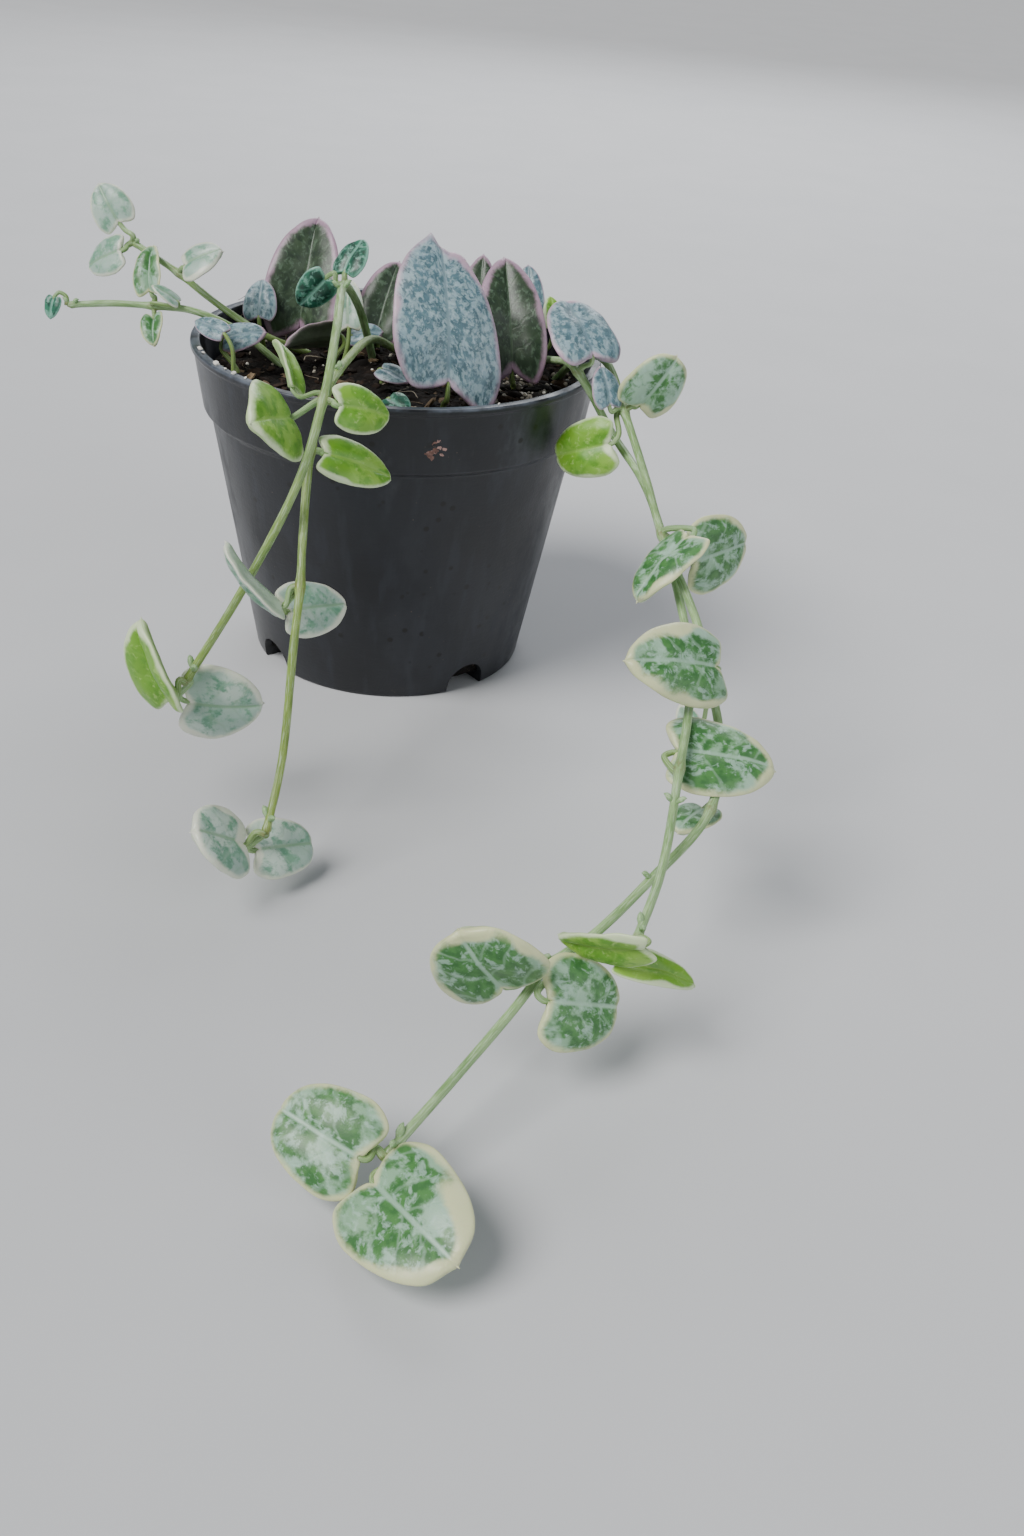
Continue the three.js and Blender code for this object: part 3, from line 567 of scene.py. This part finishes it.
def blade_grid(rings, tip, seed, size):
    """The middle surface of the blade, its normals and its place along, from the CAD's rings."""
    edges = [rings[:, LEFT], (rings[:, 1] + rings[:, 7]) / 2, (rings[:, TOP] + rings[:, BELOW]) / 2,
             (rings[:, 3] + rings[:, 5]) / 2, rings[:, RIGHT]]
    control = np.stack(edges, axis=1)
    stalk, blade = control[:STALK_RINGS], control[STALK_RINGS:]
    base = stalk[-1].mean(axis=0) * 0.3 + blade[0, 2] * 0.7
    rows = np.concatenate([[np.repeat(base[None], 5, axis=0)], blade, [np.repeat(tip[None], 5, axis=0)]])
    spans = len(rows) - 1
    at = np.linspace(0, spans, spans * ROWS_PER_SPAN + 1)
    fine = spline(rows, at)
    across = np.sin(np.linspace(-1, 1, COLUMNS + 1) * math.pi / 2)
    grid = np.stack([spline(row, (across + 1) * 2) for row in fine])
    along = np.gradient(grid, axis=0)
    sideways = np.gradient(grid, axis=1)
    normals = np.cross(along, -sideways)
    normals /= np.maximum(np.linalg.norm(normals, axis=2), 1e-12)[:, :, None]
    normals[0], normals[-1] = normals[1], normals[-2]
    up = (rings[STALK_RINGS + 2, TOP] - rings[STALK_RINGS + 2, BELOW])
    if (normals[len(grid) // 2, COLUMNS // 2] @ up) < 0:
        normals = -normals
    for r in range(1, len(grid) - 1):
        for c in range(COLUMNS + 1):
            spot = Vector(grid[r, c]) / size * 2.2 + Vector((seed, 0, 0))
            wave = noise.noise(spot) * 0.035 + noise.noise(spot * 2.7) * 0.016 * abs(across[c])
            grid[r, c] += normals[r, c] * wave * size
    return grid, normals, across, at / spans, base


def margin_share(grid):
    """How far each point lies in from the margin, as a share of half the leaf's width."""
    outline = np.concatenate([grid[:, 0], grid[:, -1]])
    flat = grid.reshape(-1, 3)
    reach = np.linalg.norm(flat[:, None] - outline[None], axis=2).min(axis=1)
    half = np.linalg.norm(grid[:, 0] - grid[:, -1], axis=1).max() / 2
    return (reach / half).reshape(grid.shape[:2])


# The end of the largest leaf is torn: how far each place across it reaches past the blade's end, in
# millimetres, from its left margin to its right.
TORN_LEAF = "leaf_crown_big_silver"
TORN_AT = [-1, -0.93, -0.8, -0.55, -0.3, -0.16, -0.05, 0.12, 0.28, 0.4, 0.55, 0.75, 1]
TORN_BY = [1.6, 2.6, 0.5, 1.0, 2.2, 3.0, 0.9, 0.4, 1.4, 1.8, 0.6, 0.0, 0.0]


def torn(grid, along):
    ahead = grid[-1, COLUMNS // 2] - grid[-ROWS_PER_SPAN, COLUMNS // 2]
    ahead /= np.linalg.norm(ahead)
    side = grid[len(grid) // 2, -1] - grid[len(grid) // 2, 0]
    half = np.linalg.norm(side) / 2
    spread = (grid - grid[:, COLUMNS // 2][:, None]) @ (side / np.linalg.norm(side)) / half
    share = np.clip((along - 0.55) / 0.45, 0, 1)[:, None] ** 1.5
    reach = np.interp(spread, TORN_AT, TORN_BY) * share
    return grid + reach[:, :, None] * ahead * MM


def make_leaf(node, materials):
    rng = random.Random(node)
    seed = rng.random() * 80
    rings, start, tip = skin_of(node)
    width = np.linalg.norm(rings[:, LEFT] - rings[:, RIGHT], axis=1).max()
    grid, normals, across, along, base = blade_grid(rings, tip, seed, width)
    if node == TORN_LEAF:
        grid = torn(grid, along)
    inward = margin_share(grid)
    rows, columns = grid.shape[:2]
    middle = grid[:, COLUMNS // 2]
    length = np.concatenate([[0], np.cumsum(np.linalg.norm(np.diff(middle, axis=0), axis=1))])

    plump = (1 - np.abs(across) ** MARGIN_ROUNDNESS) ** 0.5
    taper = np.minimum(1, np.sqrt(along / 0.07)) * np.minimum(1, np.sqrt((1 - along) / 0.09))
    thick = min(HALF_THICKNESS, 0.07 * width + 0.1 * MM)
    off = (grid - middle[:, None])
    aside = np.sign(across)[None] * np.linalg.norm(off, axis=2)
    groove = np.exp(-(aside / GROOVE_WIDTH) ** 2) * np.minimum(1, (1 - along) * 4)[:, None] * taper[:, None]
    swell = np.array([[noise.noise(Vector((aside[r, c] / MM * 0.5, length[r] / MM * 0.5, seed + 9)))
                       for c in range(columns)] for r in range(rows)])
    lift = thick * plump[None] * taper[:, None] * (1 + 0.16 * swell)
    upper = grid + normals * (lift - GROOVE_DEPTH * groove)[:, :, None]
    lower = grid - normals * (lift + RIDGE_HEIGHT * groove * (1 - along)[:, None])[:, :, None]

    points, blade, edge, under = [], [], [], []

    def corner(place, r, c, below):
        points.append(place)
        blade.append((aside[r, c] / MM, length[r] / MM, seed))
        edge.append(inward[r, c])
        under.append(below)
        return len(points) - 1

    top = [[None] * columns for _ in range(rows)]
    bottom = [[None] * columns for _ in range(rows)]
    for r in range(rows):
        for c in range(columns):
            end_row = r in (0, rows - 1)
            rim = c in (0, columns - 1)
            if end_row and c:
                top[r][c] = bottom[r][c] = top[r][0]
                continue
            top[r][c] = corner(upper[r, c], r, c, 0.0)
            bottom[r][c] = top[r][c] if rim or end_row else corner(lower[r, c], r, c, 1.0)
    faces = []
    for sheet, turned in ((top, False), (bottom, True)):
        for r in range(rows - 1):
            for c in range(columns - 1):
                loop = [sheet[r][c], sheet[r][c + 1], sheet[r + 1][c + 1], sheet[r + 1][c]]
                loop = list(dict.fromkeys(loop))
                if len(loop) > 2:
                    faces.append(tuple(reversed(loop)) if turned else tuple(loop))
    slots = [0] * len(faces)

    # The stalk starts inside its stem, or in the soil, and ends as a ridge under the blade.
    stalk = list(rings[:STALK_RINGS].mean(axis=1))
    strand = next((s for s in STRANDS if node.startswith(f"leaf_{s}_")), None)
    if strand:
        path = PATHS[strand][0]
        foot = path[np.argmin(np.linalg.norm(path - start, axis=1))]
    else:
        foot = stalk[0] + np.array((0.1 * MM, 0, -ROOT_DEPTH))
    inner = [middle[ROWS_PER_SPAN + 2] - normals[ROWS_PER_SPAN + 2, COLUMNS // 2] * thick * 0.5,
             middle[2 * ROWS_PER_SPAN] - normals[2 * ROWS_PER_SPAN, COLUMNS // 2] * thick * 0.4]
    controls = np.array([foot, *stalk, base, *inner])
    at = np.linspace(0, len(controls) - 1, (len(controls) - 1) * 5 + 1)
    run = spline(controls, at)
    slim = np.interp(at, [0, 1, 3, 4, 5, 6], [0.52, 0.42, 0.36, 0.36, 0.28, 0.1]) * MM
    slim *= min(1.0, 0.55 + width / (14 * MM))
    stalk_points, stalk_faces, angles = tube(run, slim, STALK_SIDES, side=normals[0, 0], ridges=0.1)
    tone = 0.2 + 0.4 * rng.random() if strand else 0.75
    near_joint = np.exp(-(np.arange(len(run)) / 4.0) ** 2)
    offset = len(points)
    points += stalk_points
    faces += [tuple(i + offset for i in f) for f in stalk_faces]
    slots += [1] * len(stalk_faces)

    # The tip's short point.
    ahead = middle[-1] - middle[-4]
    ahead /= np.linalg.norm(ahead)
    droop = -normals[-1, COLUMNS // 2]
    reach = MUCRO_LENGTH * min(1.0, width / (8 * MM))
    spine = [tip - ahead * reach, tip - ahead * 0.3 * reach]
    spine += [tip + ahead * 0.35 * reach, tip + (ahead + 0.3 * droop) * reach]
    mucro = spline(spine, np.linspace(0, 3, len(MUCRO_RADII)))
    point_points, point_faces, _ = tube(mucro, np.array(MUCRO_RADII) * MM * 0.8, 8)
    offset_point = len(points)
    points += point_points
    faces += [tuple(i + offset_point for i in f) for f in point_faces]
    slots += [0] * len(point_faces)

    stalk_run = np.concatenate([[0], np.repeat(np.linspace(0, 6, len(run)), STALK_SIDES), [6]])
    stalk_knob = np.concatenate([[0], np.repeat(near_joint, STALK_SIDES), [0]])
    blank = len(blade)
    ends = len(point_points)
    tip_blade = (0.0, float(length[-1] / MM), seed)
    no_stem = (0.0, 0.0, 0.0)
    attributes = {
        "blade": blade + [(0.0, 0.0, seed)] * len(stalk_points) + [tip_blade] * ends,
        "edge": edge + [0.5] * len(stalk_points) + [0.0] * ends,
        "under": under + [0.0] * (len(stalk_points) + ends),
        "stem": [no_stem] * blank + [(a, b, seed) for a, b in zip(stalk_run, angles)] + [no_stem] * ends,
        "tone": [0.0] * blank + [tone] * len(stalk_points) + [0.0] * ends,
        "joint": [0.0] * blank + list(stalk_knob) + [0.0] * ends,
    }
    name = "heart_" + node.removeprefix("leaf_")
    piece = make_piece(name, points, faces, [materials[SLOT_OF[node]], materials["stem"]], attributes, slots)
    hand_over(piece, SLOT_OF[node], node)
    return strand, foot


# ---- The pot

POT_SIDES = 192
BASE = 21 * MM  # radius of the foot
COLLAR_HEIGHT = 9.5 * MM
COLLAR_TAPER = 1.2 * MM
COLLAR_STEP = 1.0 * MM
LEDGE = 0.8 * MM
WALL = 1.0 * MM
LIP = 0.4 * MM
NOTCH_AZIMUTH = -55
NOTCH_WIDTH, NOTCH_HEIGHT = 6.5 * MM, 4.4 * MM
HOLE_RADIUS, HOLE_CIRCLE = 2.2 * MM, 11 * MM
FLOOR = 1.4 * MM


def bend(corner, before, after, radius, steps=4):
    """The points of a rounded corner of the profile."""
    corner, before, after = (np.array(p, float) for p in (corner, before, after))
    a = corner + (before - corner) / np.linalg.norm(before - corner) * radius
    b = corner + (after - corner) / np.linalg.norm(after - corner) * radius
    shares = np.linspace(0, 1, steps + 1)
    return [tuple((1 - t) ** 2 * a + 2 * t * (1 - t) * corner + t * t * b) for t in shares]


def lathe(profile, sides, start_angle=0.0):
    points, faces = [], []
    rings = []
    for radius, z in profile:
        if radius < 1e-9:
            rings.append([len(points)] * sides)
            points.append((0, 0, z))
            continue
        rings.append(list(range(len(points), len(points) + sides)))
        for k in range(sides):
            angle = start_angle + 2 * math.pi * k / sides
            points.append((radius * math.cos(angle), radius * math.sin(angle), z))
    for low, high in zip(rings, rings[1:]):
        for k in range(sides):
            loop = [low[k], low[(k + 1) % sides], high[(k + 1) % sides], high[k]]
            loop = list(dict.fromkeys(loop))
            if len(loop) > 2:
                faces.append(tuple(loop))
    return points, faces


def cut(piece, tools):
    for tool in tools:
        step = piece.modifiers.new("cut", "BOOLEAN")
        step.operation = "DIFFERENCE"
        step.solver = "EXACT"
        step.object = tool
    bpy.context.view_layer.update()
    graph = bpy.context.evaluated_depsgraph_get()
    finished = bpy.data.meshes.new_from_object(piece.evaluated_get(graph))
    piece.modifiers.clear()
    old, piece.data = piece.data, finished
    bpy.data.meshes.remove(old)
    for tool in tools:
        bpy.data.objects.remove(tool)


def prism(name, outline, near, far, azimuth):
    """An outline of (across, up) points, pushed along the radius from near to far at an azimuth."""
    turn = Matrix.Rotation(math.radians(azimuth), 3, "Z")
    points = [turn @ Vector((reach, a, z)) for reach in (near, far) for a, z in outline]
    n = len(outline)
    faces = [tuple(range(n))[::-1], tuple(range(n, 2 * n))]
    faces += [(k, (k + 1) % n, n + (k + 1) % n, n + k) for k in range(n)]
    return make_piece(name, points, faces, [])


def make_pot(material):
    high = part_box("pot")[1]
    rim, height = high.x, high.z
    collar_foot = rim - LIP - COLLAR_TAPER
    wall_head = collar_foot - COLLAR_STEP
    collar_z = height - COLLAR_HEIGHT
    outline = [
        (0, 0), (BASE, 0), (wall_head, collar_z - LEDGE), (collar_foot, collar_z),
        (rim - LIP, height - 1.2 * MM), (rim, height - 0.8 * MM), (rim, height), (rim - LIP - WALL, height),
        (collar_foot - WALL, collar_z), (wall_head - WALL, collar_z - LEDGE),
        (BASE - WALL, FLOOR), (0, FLOOR),
    ]
    rounding = [0, 0.5, 0.35, 0.3, 0.18, 0.18, 0.28, 0.28, 0.4, 0.4, 0.6, 0]
    profile = []
    for k, corner in enumerate(outline):
        if rounding[k]:
            profile += bend(corner, outline[k - 1], outline[k + 1], rounding[k] * MM)
        else:
            profile.append(corner)
    fine = []
    for a, b in zip(profile, profile[1:]):
        steps = max(1, int(np.hypot(a[0] - b[0], a[1] - b[1]) / (3 * MM)))
        fine += [(a[0] + (b[0] - a[0]) * t / steps, a[1] + (b[1] - a[1]) * t / steps) for t in range(steps)]
    fine.append(profile[-1])
    points, faces = lathe(fine, POT_SIDES)
    piece = make_piece("nursery_pot", points, faces, [material])
    spring = NOTCH_HEIGHT - NOTCH_WIDTH / 2
    half = NOTCH_WIDTH / 2
    arch = [(-half, -MM), (half, -MM)]
    arch += [(half * math.cos(a), spring + half * math.sin(a)) for a in np.linspace(0, math.pi, 17)]
    turns = np.linspace(0, 2 * math.pi, 25)[:-1]
    disc = [(HOLE_RADIUS * math.cos(a), HOLE_RADIUS * math.sin(a)) for a in turns]
    tools = []
    for k in range(4):
        tools.append(prism("notch", arch, BASE - 4 * MM, BASE + 3 * MM, NOTCH_AZIMUTH + 90 * k))
        azimuth = math.radians(NOTCH_AZIMUTH + 90 * (k + 0.5))
        centre = Vector((HOLE_CIRCLE * math.cos(azimuth), HOLE_CIRCLE * math.sin(azimuth), 0))
        ring = [centre + Vector((x, y, z)) for z in (-MM, 2.5 * MM) for x, y in disc]
        n = len(disc)
        sides = [(i, (i + 1) % n, n + (i + 1) % n, n + i) for i in range(n)]
        ends = [tuple(range(n))[::-1], tuple(range(n, 2 * n))]
        tools.append(make_piece("hole", ring, ends + sides, []))
    cut(piece, tools)
    piece.data.polygons.foreach_set("use_smooth", [True] * len(piece.data.polygons))
    mark_sharp(piece.data, 32)
    return hand_over(piece, "pot_plastic", "pot")


# ---- The soil and what lies on it

SOIL_ROWS, SOIL_SIDES = 64, 220


def make_ground(material):
    """The soil's own surface. Returns a function that gives its height."""
    soil = frame["nodes"]["soil"].data
    tree = BVHTree.FromPolygons([v.co for v in soil.vertices], [tuple(p.vertices) for p in soil.polygons])
    low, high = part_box("soil")

    def cad_height(x, y):
        hit = tree.ray_cast(Vector((x, y, high.z + 0.01)), Vector((0, 0, -1)))[0]
        return hit.z if hit else None

    reach = high.x
    while cad_height(reach, 0) is None or cad_height(reach, 0) < high.z - 3 * MM:
        reach -= 0.1 * MM

    def ground(x, y):
        flat = cad_height(x, y)
        flat = flat if flat is not None else high.z - 2 * MM
        spot = Vector((x, y, 0)) / MM
        rough = 0.45 * noise.fractal(spot * 0.45, 0.9, 2.1, 4) + 0.12 * noise.noise(spot * 3.1)
        fade = min(1.0, max(0.0, (reach - math.hypot(x, y)) / (1.5 * MM)))
        return flat + rough * MM * fade

    points = []
    for r in range(SOIL_ROWS + 1):
        radius = reach * (r / SOIL_ROWS)
        if r == 0:
            points.append((0, 0, ground(0, 0)))
            continue
        for k in range(SOIL_SIDES):
            angle = 2 * math.pi * k / SOIL_SIDES
            x, y = radius * math.cos(angle), radius * math.sin(angle)
            points.append((x, y, ground(x, y)))
    at = lambda r, k: 0 if r == 0 else 1 + (r - 1) * SOIL_SIDES + k % SOIL_SIDES
    faces = []
    for r in range(SOIL_ROWS):
        for k in range(SOIL_SIDES):
            loop = list(dict.fromkeys([at(r, k), at(r + 1, k), at(r + 1, k + 1), at(r, k + 1)]))
            faces.append(tuple(loop))
    wall = [(reach - 0.2 * MM, high.z - 5 * MM), (20 * MM, low.z + 0.2 * MM), (0, low.z + 0.2 * MM)]
    previous = [at(SOIL_ROWS, k) for k in range(SOIL_SIDES)]
    for radius, z in wall:
        if radius:
            row = list(range(len(points), len(points) + SOIL_SIDES))
            turns = [2 * math.pi * k / SOIL_SIDES for k in range(SOIL_SIDES)]
            points += [(radius * math.cos(a), radius * math.sin(a), z) for a in turns]
        else:
            row = [len(points)] * SOIL_SIDES
            points.append((0, 0, z))
        for k in range(SOIL_SIDES):
            loop = [previous[k], row[k], row[(k + 1) % SOIL_SIDES], previous[(k + 1) % SOIL_SIDES]]
            faces.append(tuple(dict.fromkeys(loop)))
        previous = row
    piece = make_piece("soil_ground", points, faces, [material])
    hand_over(piece, "potting_mix", "soil")
    return ground, reach


def ball():
    """An icosahedron whose faces are split once, as unit points and faces."""
    golden = (1 + 5 ** 0.5) / 2
    raw = [(-1, golden, 0), (1, golden, 0), (-1, -golden, 0), (1, -golden, 0),
           (0, -1, golden), (0, 1, golden), (0, -1, -golden), (0, 1, -golden),
           (golden, 0, -1), (golden, 0, 1), (-golden, 0, -1), (-golden, 0, 1)]
    points = [Vector(p).normalized() for p in raw]
    faces = [(0, 11, 5), (0, 5, 1), (0, 1, 7), (0, 7, 10), (0, 10, 11), (1, 5, 9), (5, 11, 4),
             (11, 10, 2), (10, 7, 6), (7, 1, 8), (3, 9, 4), (3, 4, 2), (3, 2, 6), (3, 6, 8),
             (3, 8, 9), (4, 9, 5), (2, 4, 11), (6, 2, 10), (8, 6, 7), (9, 8, 1)]
    split, middle = [], {}

    def between(a, b):
        key = (min(a, b), max(a, b))
        if key not in middle:
            middle[key] = len(points)
            points.append((points[a] + points[b]).normalized())
        return middle[key]

    for a, b, c in faces:
        ab, bc, ca = between(a, b), between(b, c), between(c, a)
        split += [(a, ab, ca), (b, bc, ab), (c, ca, bc), (ab, bc, ca)]
    return points, split


BALL = ball()


def scatter(name, lumps, material, slot):
    """One piece of many loose lumps. Each is (place, (length, width, height), turn, roughness, tint)."""
    unit, split = BALL
    points, faces, tints = [], [], []
    for number, (place, size, turn, rough, tint) in enumerate(lumps):
        offset = len(points)
        for p in unit:
            wobble = 1 + rough * noise.noise(p * 1.9 + Vector((number * 3.7, 0, 0)))
            wobble += 0.4 * rough * noise.noise(p * 4.3 + Vector((0, number * 2.3, 0)))
            scaled = Vector((p.x * size[0], p.y * size[1], p.z * size[2])) * wobble / 2
            points.append(Vector(place) + turn @ scaled)
            tints.append(tint)
        faces += [tuple(i + offset for i in f) for f in split]
    piece = make_piece(name, points, faces, [material], {"tint": tints}, sharp=38)
    return hand_over(piece, slot)


def any_turn(rng, tilt):
    spin = Matrix.Rotation(rng.uniform(0, 2 * math.pi), 3, "Z")
    return spin @ Matrix.Rotation(rng.gauss(0, tilt), 3, "X") @ Matrix.Rotation(rng.gauss(0, tilt), 3, "Y")


def make_bits(ground, reach, materials):
    rng = random.Random(5)

    def somewhere(limit):
        angle, share = rng.uniform(0, 2 * math.pi), math.sqrt(rng.random())
        radius = limit * share
        x, y = radius * math.cos(angle), radius * math.sin(angle)
        return x, y, ground(x, y)

    bark = []
    for _ in range(620):
        long = rng.choice((0.8, 1.1, 1.5, 2.0, 2.8)) * MM * rng.uniform(0.8, 1.2)
        x, y, z = somewhere(reach - 0.7 * long)
        size = (long, long * rng.uniform(0.4, 0.8), long * rng.uniform(0.2, 0.4))
        tint = rng.random() ** 2.2
        bark.append(((x, y, z + size[2] * 0.15), size, any_turn(rng, 0.35), 0.5, tint))
    # Paler bark by the rim on the left.
    for x, y, long in ((-21.1, -6.3, 3.0), (-23.4, -3.2, 2.4), (-19.6, -10.8, 2.1), (-22.4, -9.4, 1.9)):
        size = (long * MM, long * 0.6 * MM, long * 0.3 * MM)
        place = (x * MM, y * MM, ground(x * MM, y * MM) + 0.4 * MM)
        bark.append((place, size, any_turn(rng, 0.3), 0.5, 0.97))
    scatter("bark_bits", bark, materials["bark"], "potting_mix")

    grit = []

    def add_grit(place, size):
        grit.append((place, (size, size * 0.85, size * 0.7), any_turn(rng, 1), 0.35, rng.random()))

    for _ in range(150):
        size = rng.uniform(0.25, 0.7) * MM
        x, y, z = somewhere(reach - size)
        add_grit((x, y, z + 0.1 * MM), size)
    for _ in range(150):
        size = rng.uniform(0.3, 1.0) * MM
        x, y = rng.gauss(20, 2.6) * MM, rng.gauss(-4.5, 4.5) * MM
        if math.hypot(x, y) < reach - size:
            add_grit((x, y, ground(x, y) + 0.15 * MM), size)
    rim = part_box("pot")[1]
    on_rim = rim.x - 0.9 * MM
    # Pale lumps along the rim: partly perlite, partly painted glints that stand in for light catching the rim's
    # edge.
    for azimuth, size in ((-162, 0.9), (-158, 0.6), (-148, 1.1), (-143, 0.5), (-139, 0.9), (-134, 0.5),
                          (-62, 0.4)):
        a = math.radians(azimuth)
        place = (on_rim * math.cos(a), on_rim * math.sin(a), rim.z + 0.12 * MM)
        grit.append((place, (size * MM, size * 0.8 * MM, size * 0.5 * MM), any_turn(rng, 0.2), 0.35, 0.95))
    scatter("grit_and_perlite", grit, materials["grit"], "potting_mix")

    points, faces, tints = [], [], []

    def fibre(controls, radius, tint):
        path = spline(np.array(controls) * MM, np.linspace(0, len(controls) - 1, 8 * (len(controls) - 1) + 1))
        taper = np.linspace(1, 0.35, len(path)) * radius * MM
        made, loops, _ = tube(path, taper, 6)
        offset = len(points)
        points.extend(made)
        faces.extend(tuple(i + offset for i in f) for f in loops)
        tints.extend([tint] * len(made))

    for _ in range(46):
        x, y, _ = somewhere(reach * 0.9)
        heading = rng.uniform(0, 2 * math.pi)
        controls = []
        for k in range(4):
            px, py = x / MM + 1.5 * k * math.cos(heading), y / MM + 1.5 * k * math.sin(heading)
            if math.hypot(px, py) > reach / MM - 0.5:
                break
            controls.append((px, py, ground(px * MM, py * MM) / MM + rng.uniform(0.05, 0.7)))
            heading += rng.gauss(0, 0.5)
        if len(controls) > 2:
            fibre(controls, rng.uniform(0.05, 0.11), rng.uniform(0.3, 1.0))
    # Dry threads that stand up at the back on the left.
    for x, y, lean, height in ((-19, 12, -3.5, 7.5), (-17.5, 14, 2.5, 6), (-21, 9, -2, 5.5), (-15, 17, 4, 5)):
        z = ground(x * MM, y * MM) / MM
        fibre([(x, y, z - 0.6), (x + lean * 0.3, y, z + height * 0.55), (x + lean * 0.8, y + 0.8, z + height),
               (x + lean * 1.6, y + 1.6, z + height * 0.8)], 0.09, 0.8)
    piece = make_piece("root_fibres", points, faces, [materials["fibre"]], {"tint": tints})
    hand_over(piece, "potting_mix")


def make_residue(materials):
    """The dried smear and the blob that stick to the collar at the front."""
    rng = random.Random(11)
    pot_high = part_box("pot")[1]
    lumps = []

    def on_collar(azimuth, z, size, tint):
        share = (z * MM - (pot_high.z - COLLAR_HEIGHT)) / COLLAR_HEIGHT
        radius = pot_high.x - LIP - COLLAR_TAPER * (1 - min(1, share)) - 0.02 * MM
        a = math.radians(azimuth)
        flat = Matrix.Rotation(a, 3, "Z") @ Matrix.Rotation(rng.uniform(0, math.pi), 3, "X")
        place = (radius * math.cos(a), radius * math.sin(a), z * MM)
        lumps.append((place, (0.3 * size * MM, size * MM, size * 0.75 * MM), flat, 0.6, tint))

    for k in range(26):
        z = 47.4 - 0.2 * k
        on_collar(-82 + 0.07 * k + rng.gauss(0, 0.6), z, rng.uniform(0.35, 0.8), rng.uniform(0.1, 0.5))
    for _ in range(16):
        azimuth, z = -79.5 + rng.gauss(0, 1.3), 42.2 + rng.gauss(0, 0.6)
        on_collar(azimuth, z, rng.uniform(0.5, 1.1), rng.uniform(0.7, 1.0))
    for _ in range(40):
        on_collar(rng.uniform(-120, -50), rng.uniform(39.5, 47), rng.uniform(0.12, 0.3), rng.uniform(0, 1))
    scatter("collar_residue", lumps, materials["residue"], "pot_plastic")


# ---- Buds and the smallest leaves, at joints that have no grown leaves

# The strand, the share of its length, the heading of the first of the pair in degrees and the length.
BUDS = [("front_a", 0.33, -150, 1.3), ("front_b", 0.42, -100, 1.0), ("front_a", 0.985, -70, 1.6),
        ("front_b", 0.985, -60, 1.5), ("right_a", 0.99, -90, 1.3), ("right_b", 0.99, -110, 1.6),
        ("right_b", 0.72, 20, 1.2), ("left_b", 0.99, 170, 1.0), ("left_a", 0.99, 120, 1.0),
        ("right_a", 0.86, -20, 1.1)]
BUD_STALK = 0.55 * MM


def make_buds(materials):
    points, faces, stem, tone, knob = [], [], [], [], []
    for strand, share, heading, length in BUDS:
        path = PATHS[strand][0]
        foot = path[int(share * (len(path) - 1))]
        for turn in (0, 180):
            a = math.radians(heading + turn)
            out = np.array((math.cos(a), math.sin(a), 0.75))
            out /= np.linalg.norm(out)
            reach = length * MM
            middle = foot + out * (BUD_STALK + 0.5 * reach) + np.array((0, 0, 0.15 * reach))
            controls = [foot, foot + out * BUD_STALK, middle, foot + out * (BUD_STALK + reach)]
            at = np.linspace(0, 3, 16)
            slim = np.interp(at, [0, 0.7, 1.6, 2.3, 3], [0.2, 0.22, 0.42, 0.3, 0.03]) * MM
            slim *= 0.6 + 0.3 * length
            made, loops, angles = tube(spline(controls, at), slim, 10, ridges=0.25)
            offset = len(points)
            points += made
            faces += [tuple(i + offset for i in f) for f in loops]
            stem += [(k * 0.1, angle, share * 40) for k, angle in enumerate(angles)]
            tone += [0.1] * len(made)
            knob += [0.0] * len(made)
    attributes = {"stem": stem, "tone": tone, "joint": knob}
    piece = make_piece("buds", points, faces, [materials["stem"]], attributes)
    hand_over(piece, "stem")


# ---- The whole

FLOOR_REACH = 30.0  # from the middle to each side


def make_floor():
    side = FLOOR_REACH
    corners = [(-side, -side, 0), (side, -side, 0), (side, side, 0), (-side, side, 0)]
    floor = make_piece("floor", corners, [(0, 1, 2, 3)], [floor_material()])


make_camera()
make_light()
make_floor()

MATERIALS = {kind: leaf_material(kind) for kind in LEAF_LOOKS}
MATERIALS["stem"] = stem_material()
MATERIALS["bark"] = bits_material("bark", "120d0a", "33251b", "8f7a60", 0.9)
MATERIALS["grit"] = bits_material("grit", "8f887b", "bdb6a8", "efece4", 0.8)
MATERIALS["fibre"] = bits_material("fibre", "2e261f", "6d6152", "a9a08f", 0.85)
MATERIALS["residue"] = bits_material("residue", "3a2a24", "6e5048", "b08e86", 0.75)

joints = {strand: [] for strand in STRANDS}
for leaf_node in sorted(n for n in frame["nodes"] if n.startswith("leaf_")):
    leaf_strand, leaf_joint = make_leaf(leaf_node, MATERIALS)
    if leaf_strand:
        joints[leaf_strand].append(leaf_joint)
for each_strand in STRANDS:
    make_stem(each_strand, joints[each_strand], MATERIALS["stem"])
make_buds(MATERIALS)
make_pot(pot_material())
ground_height, soil_reach = make_ground(soil_material())
make_bits(ground_height, soil_reach, MATERIALS)
make_residue(MATERIALS)
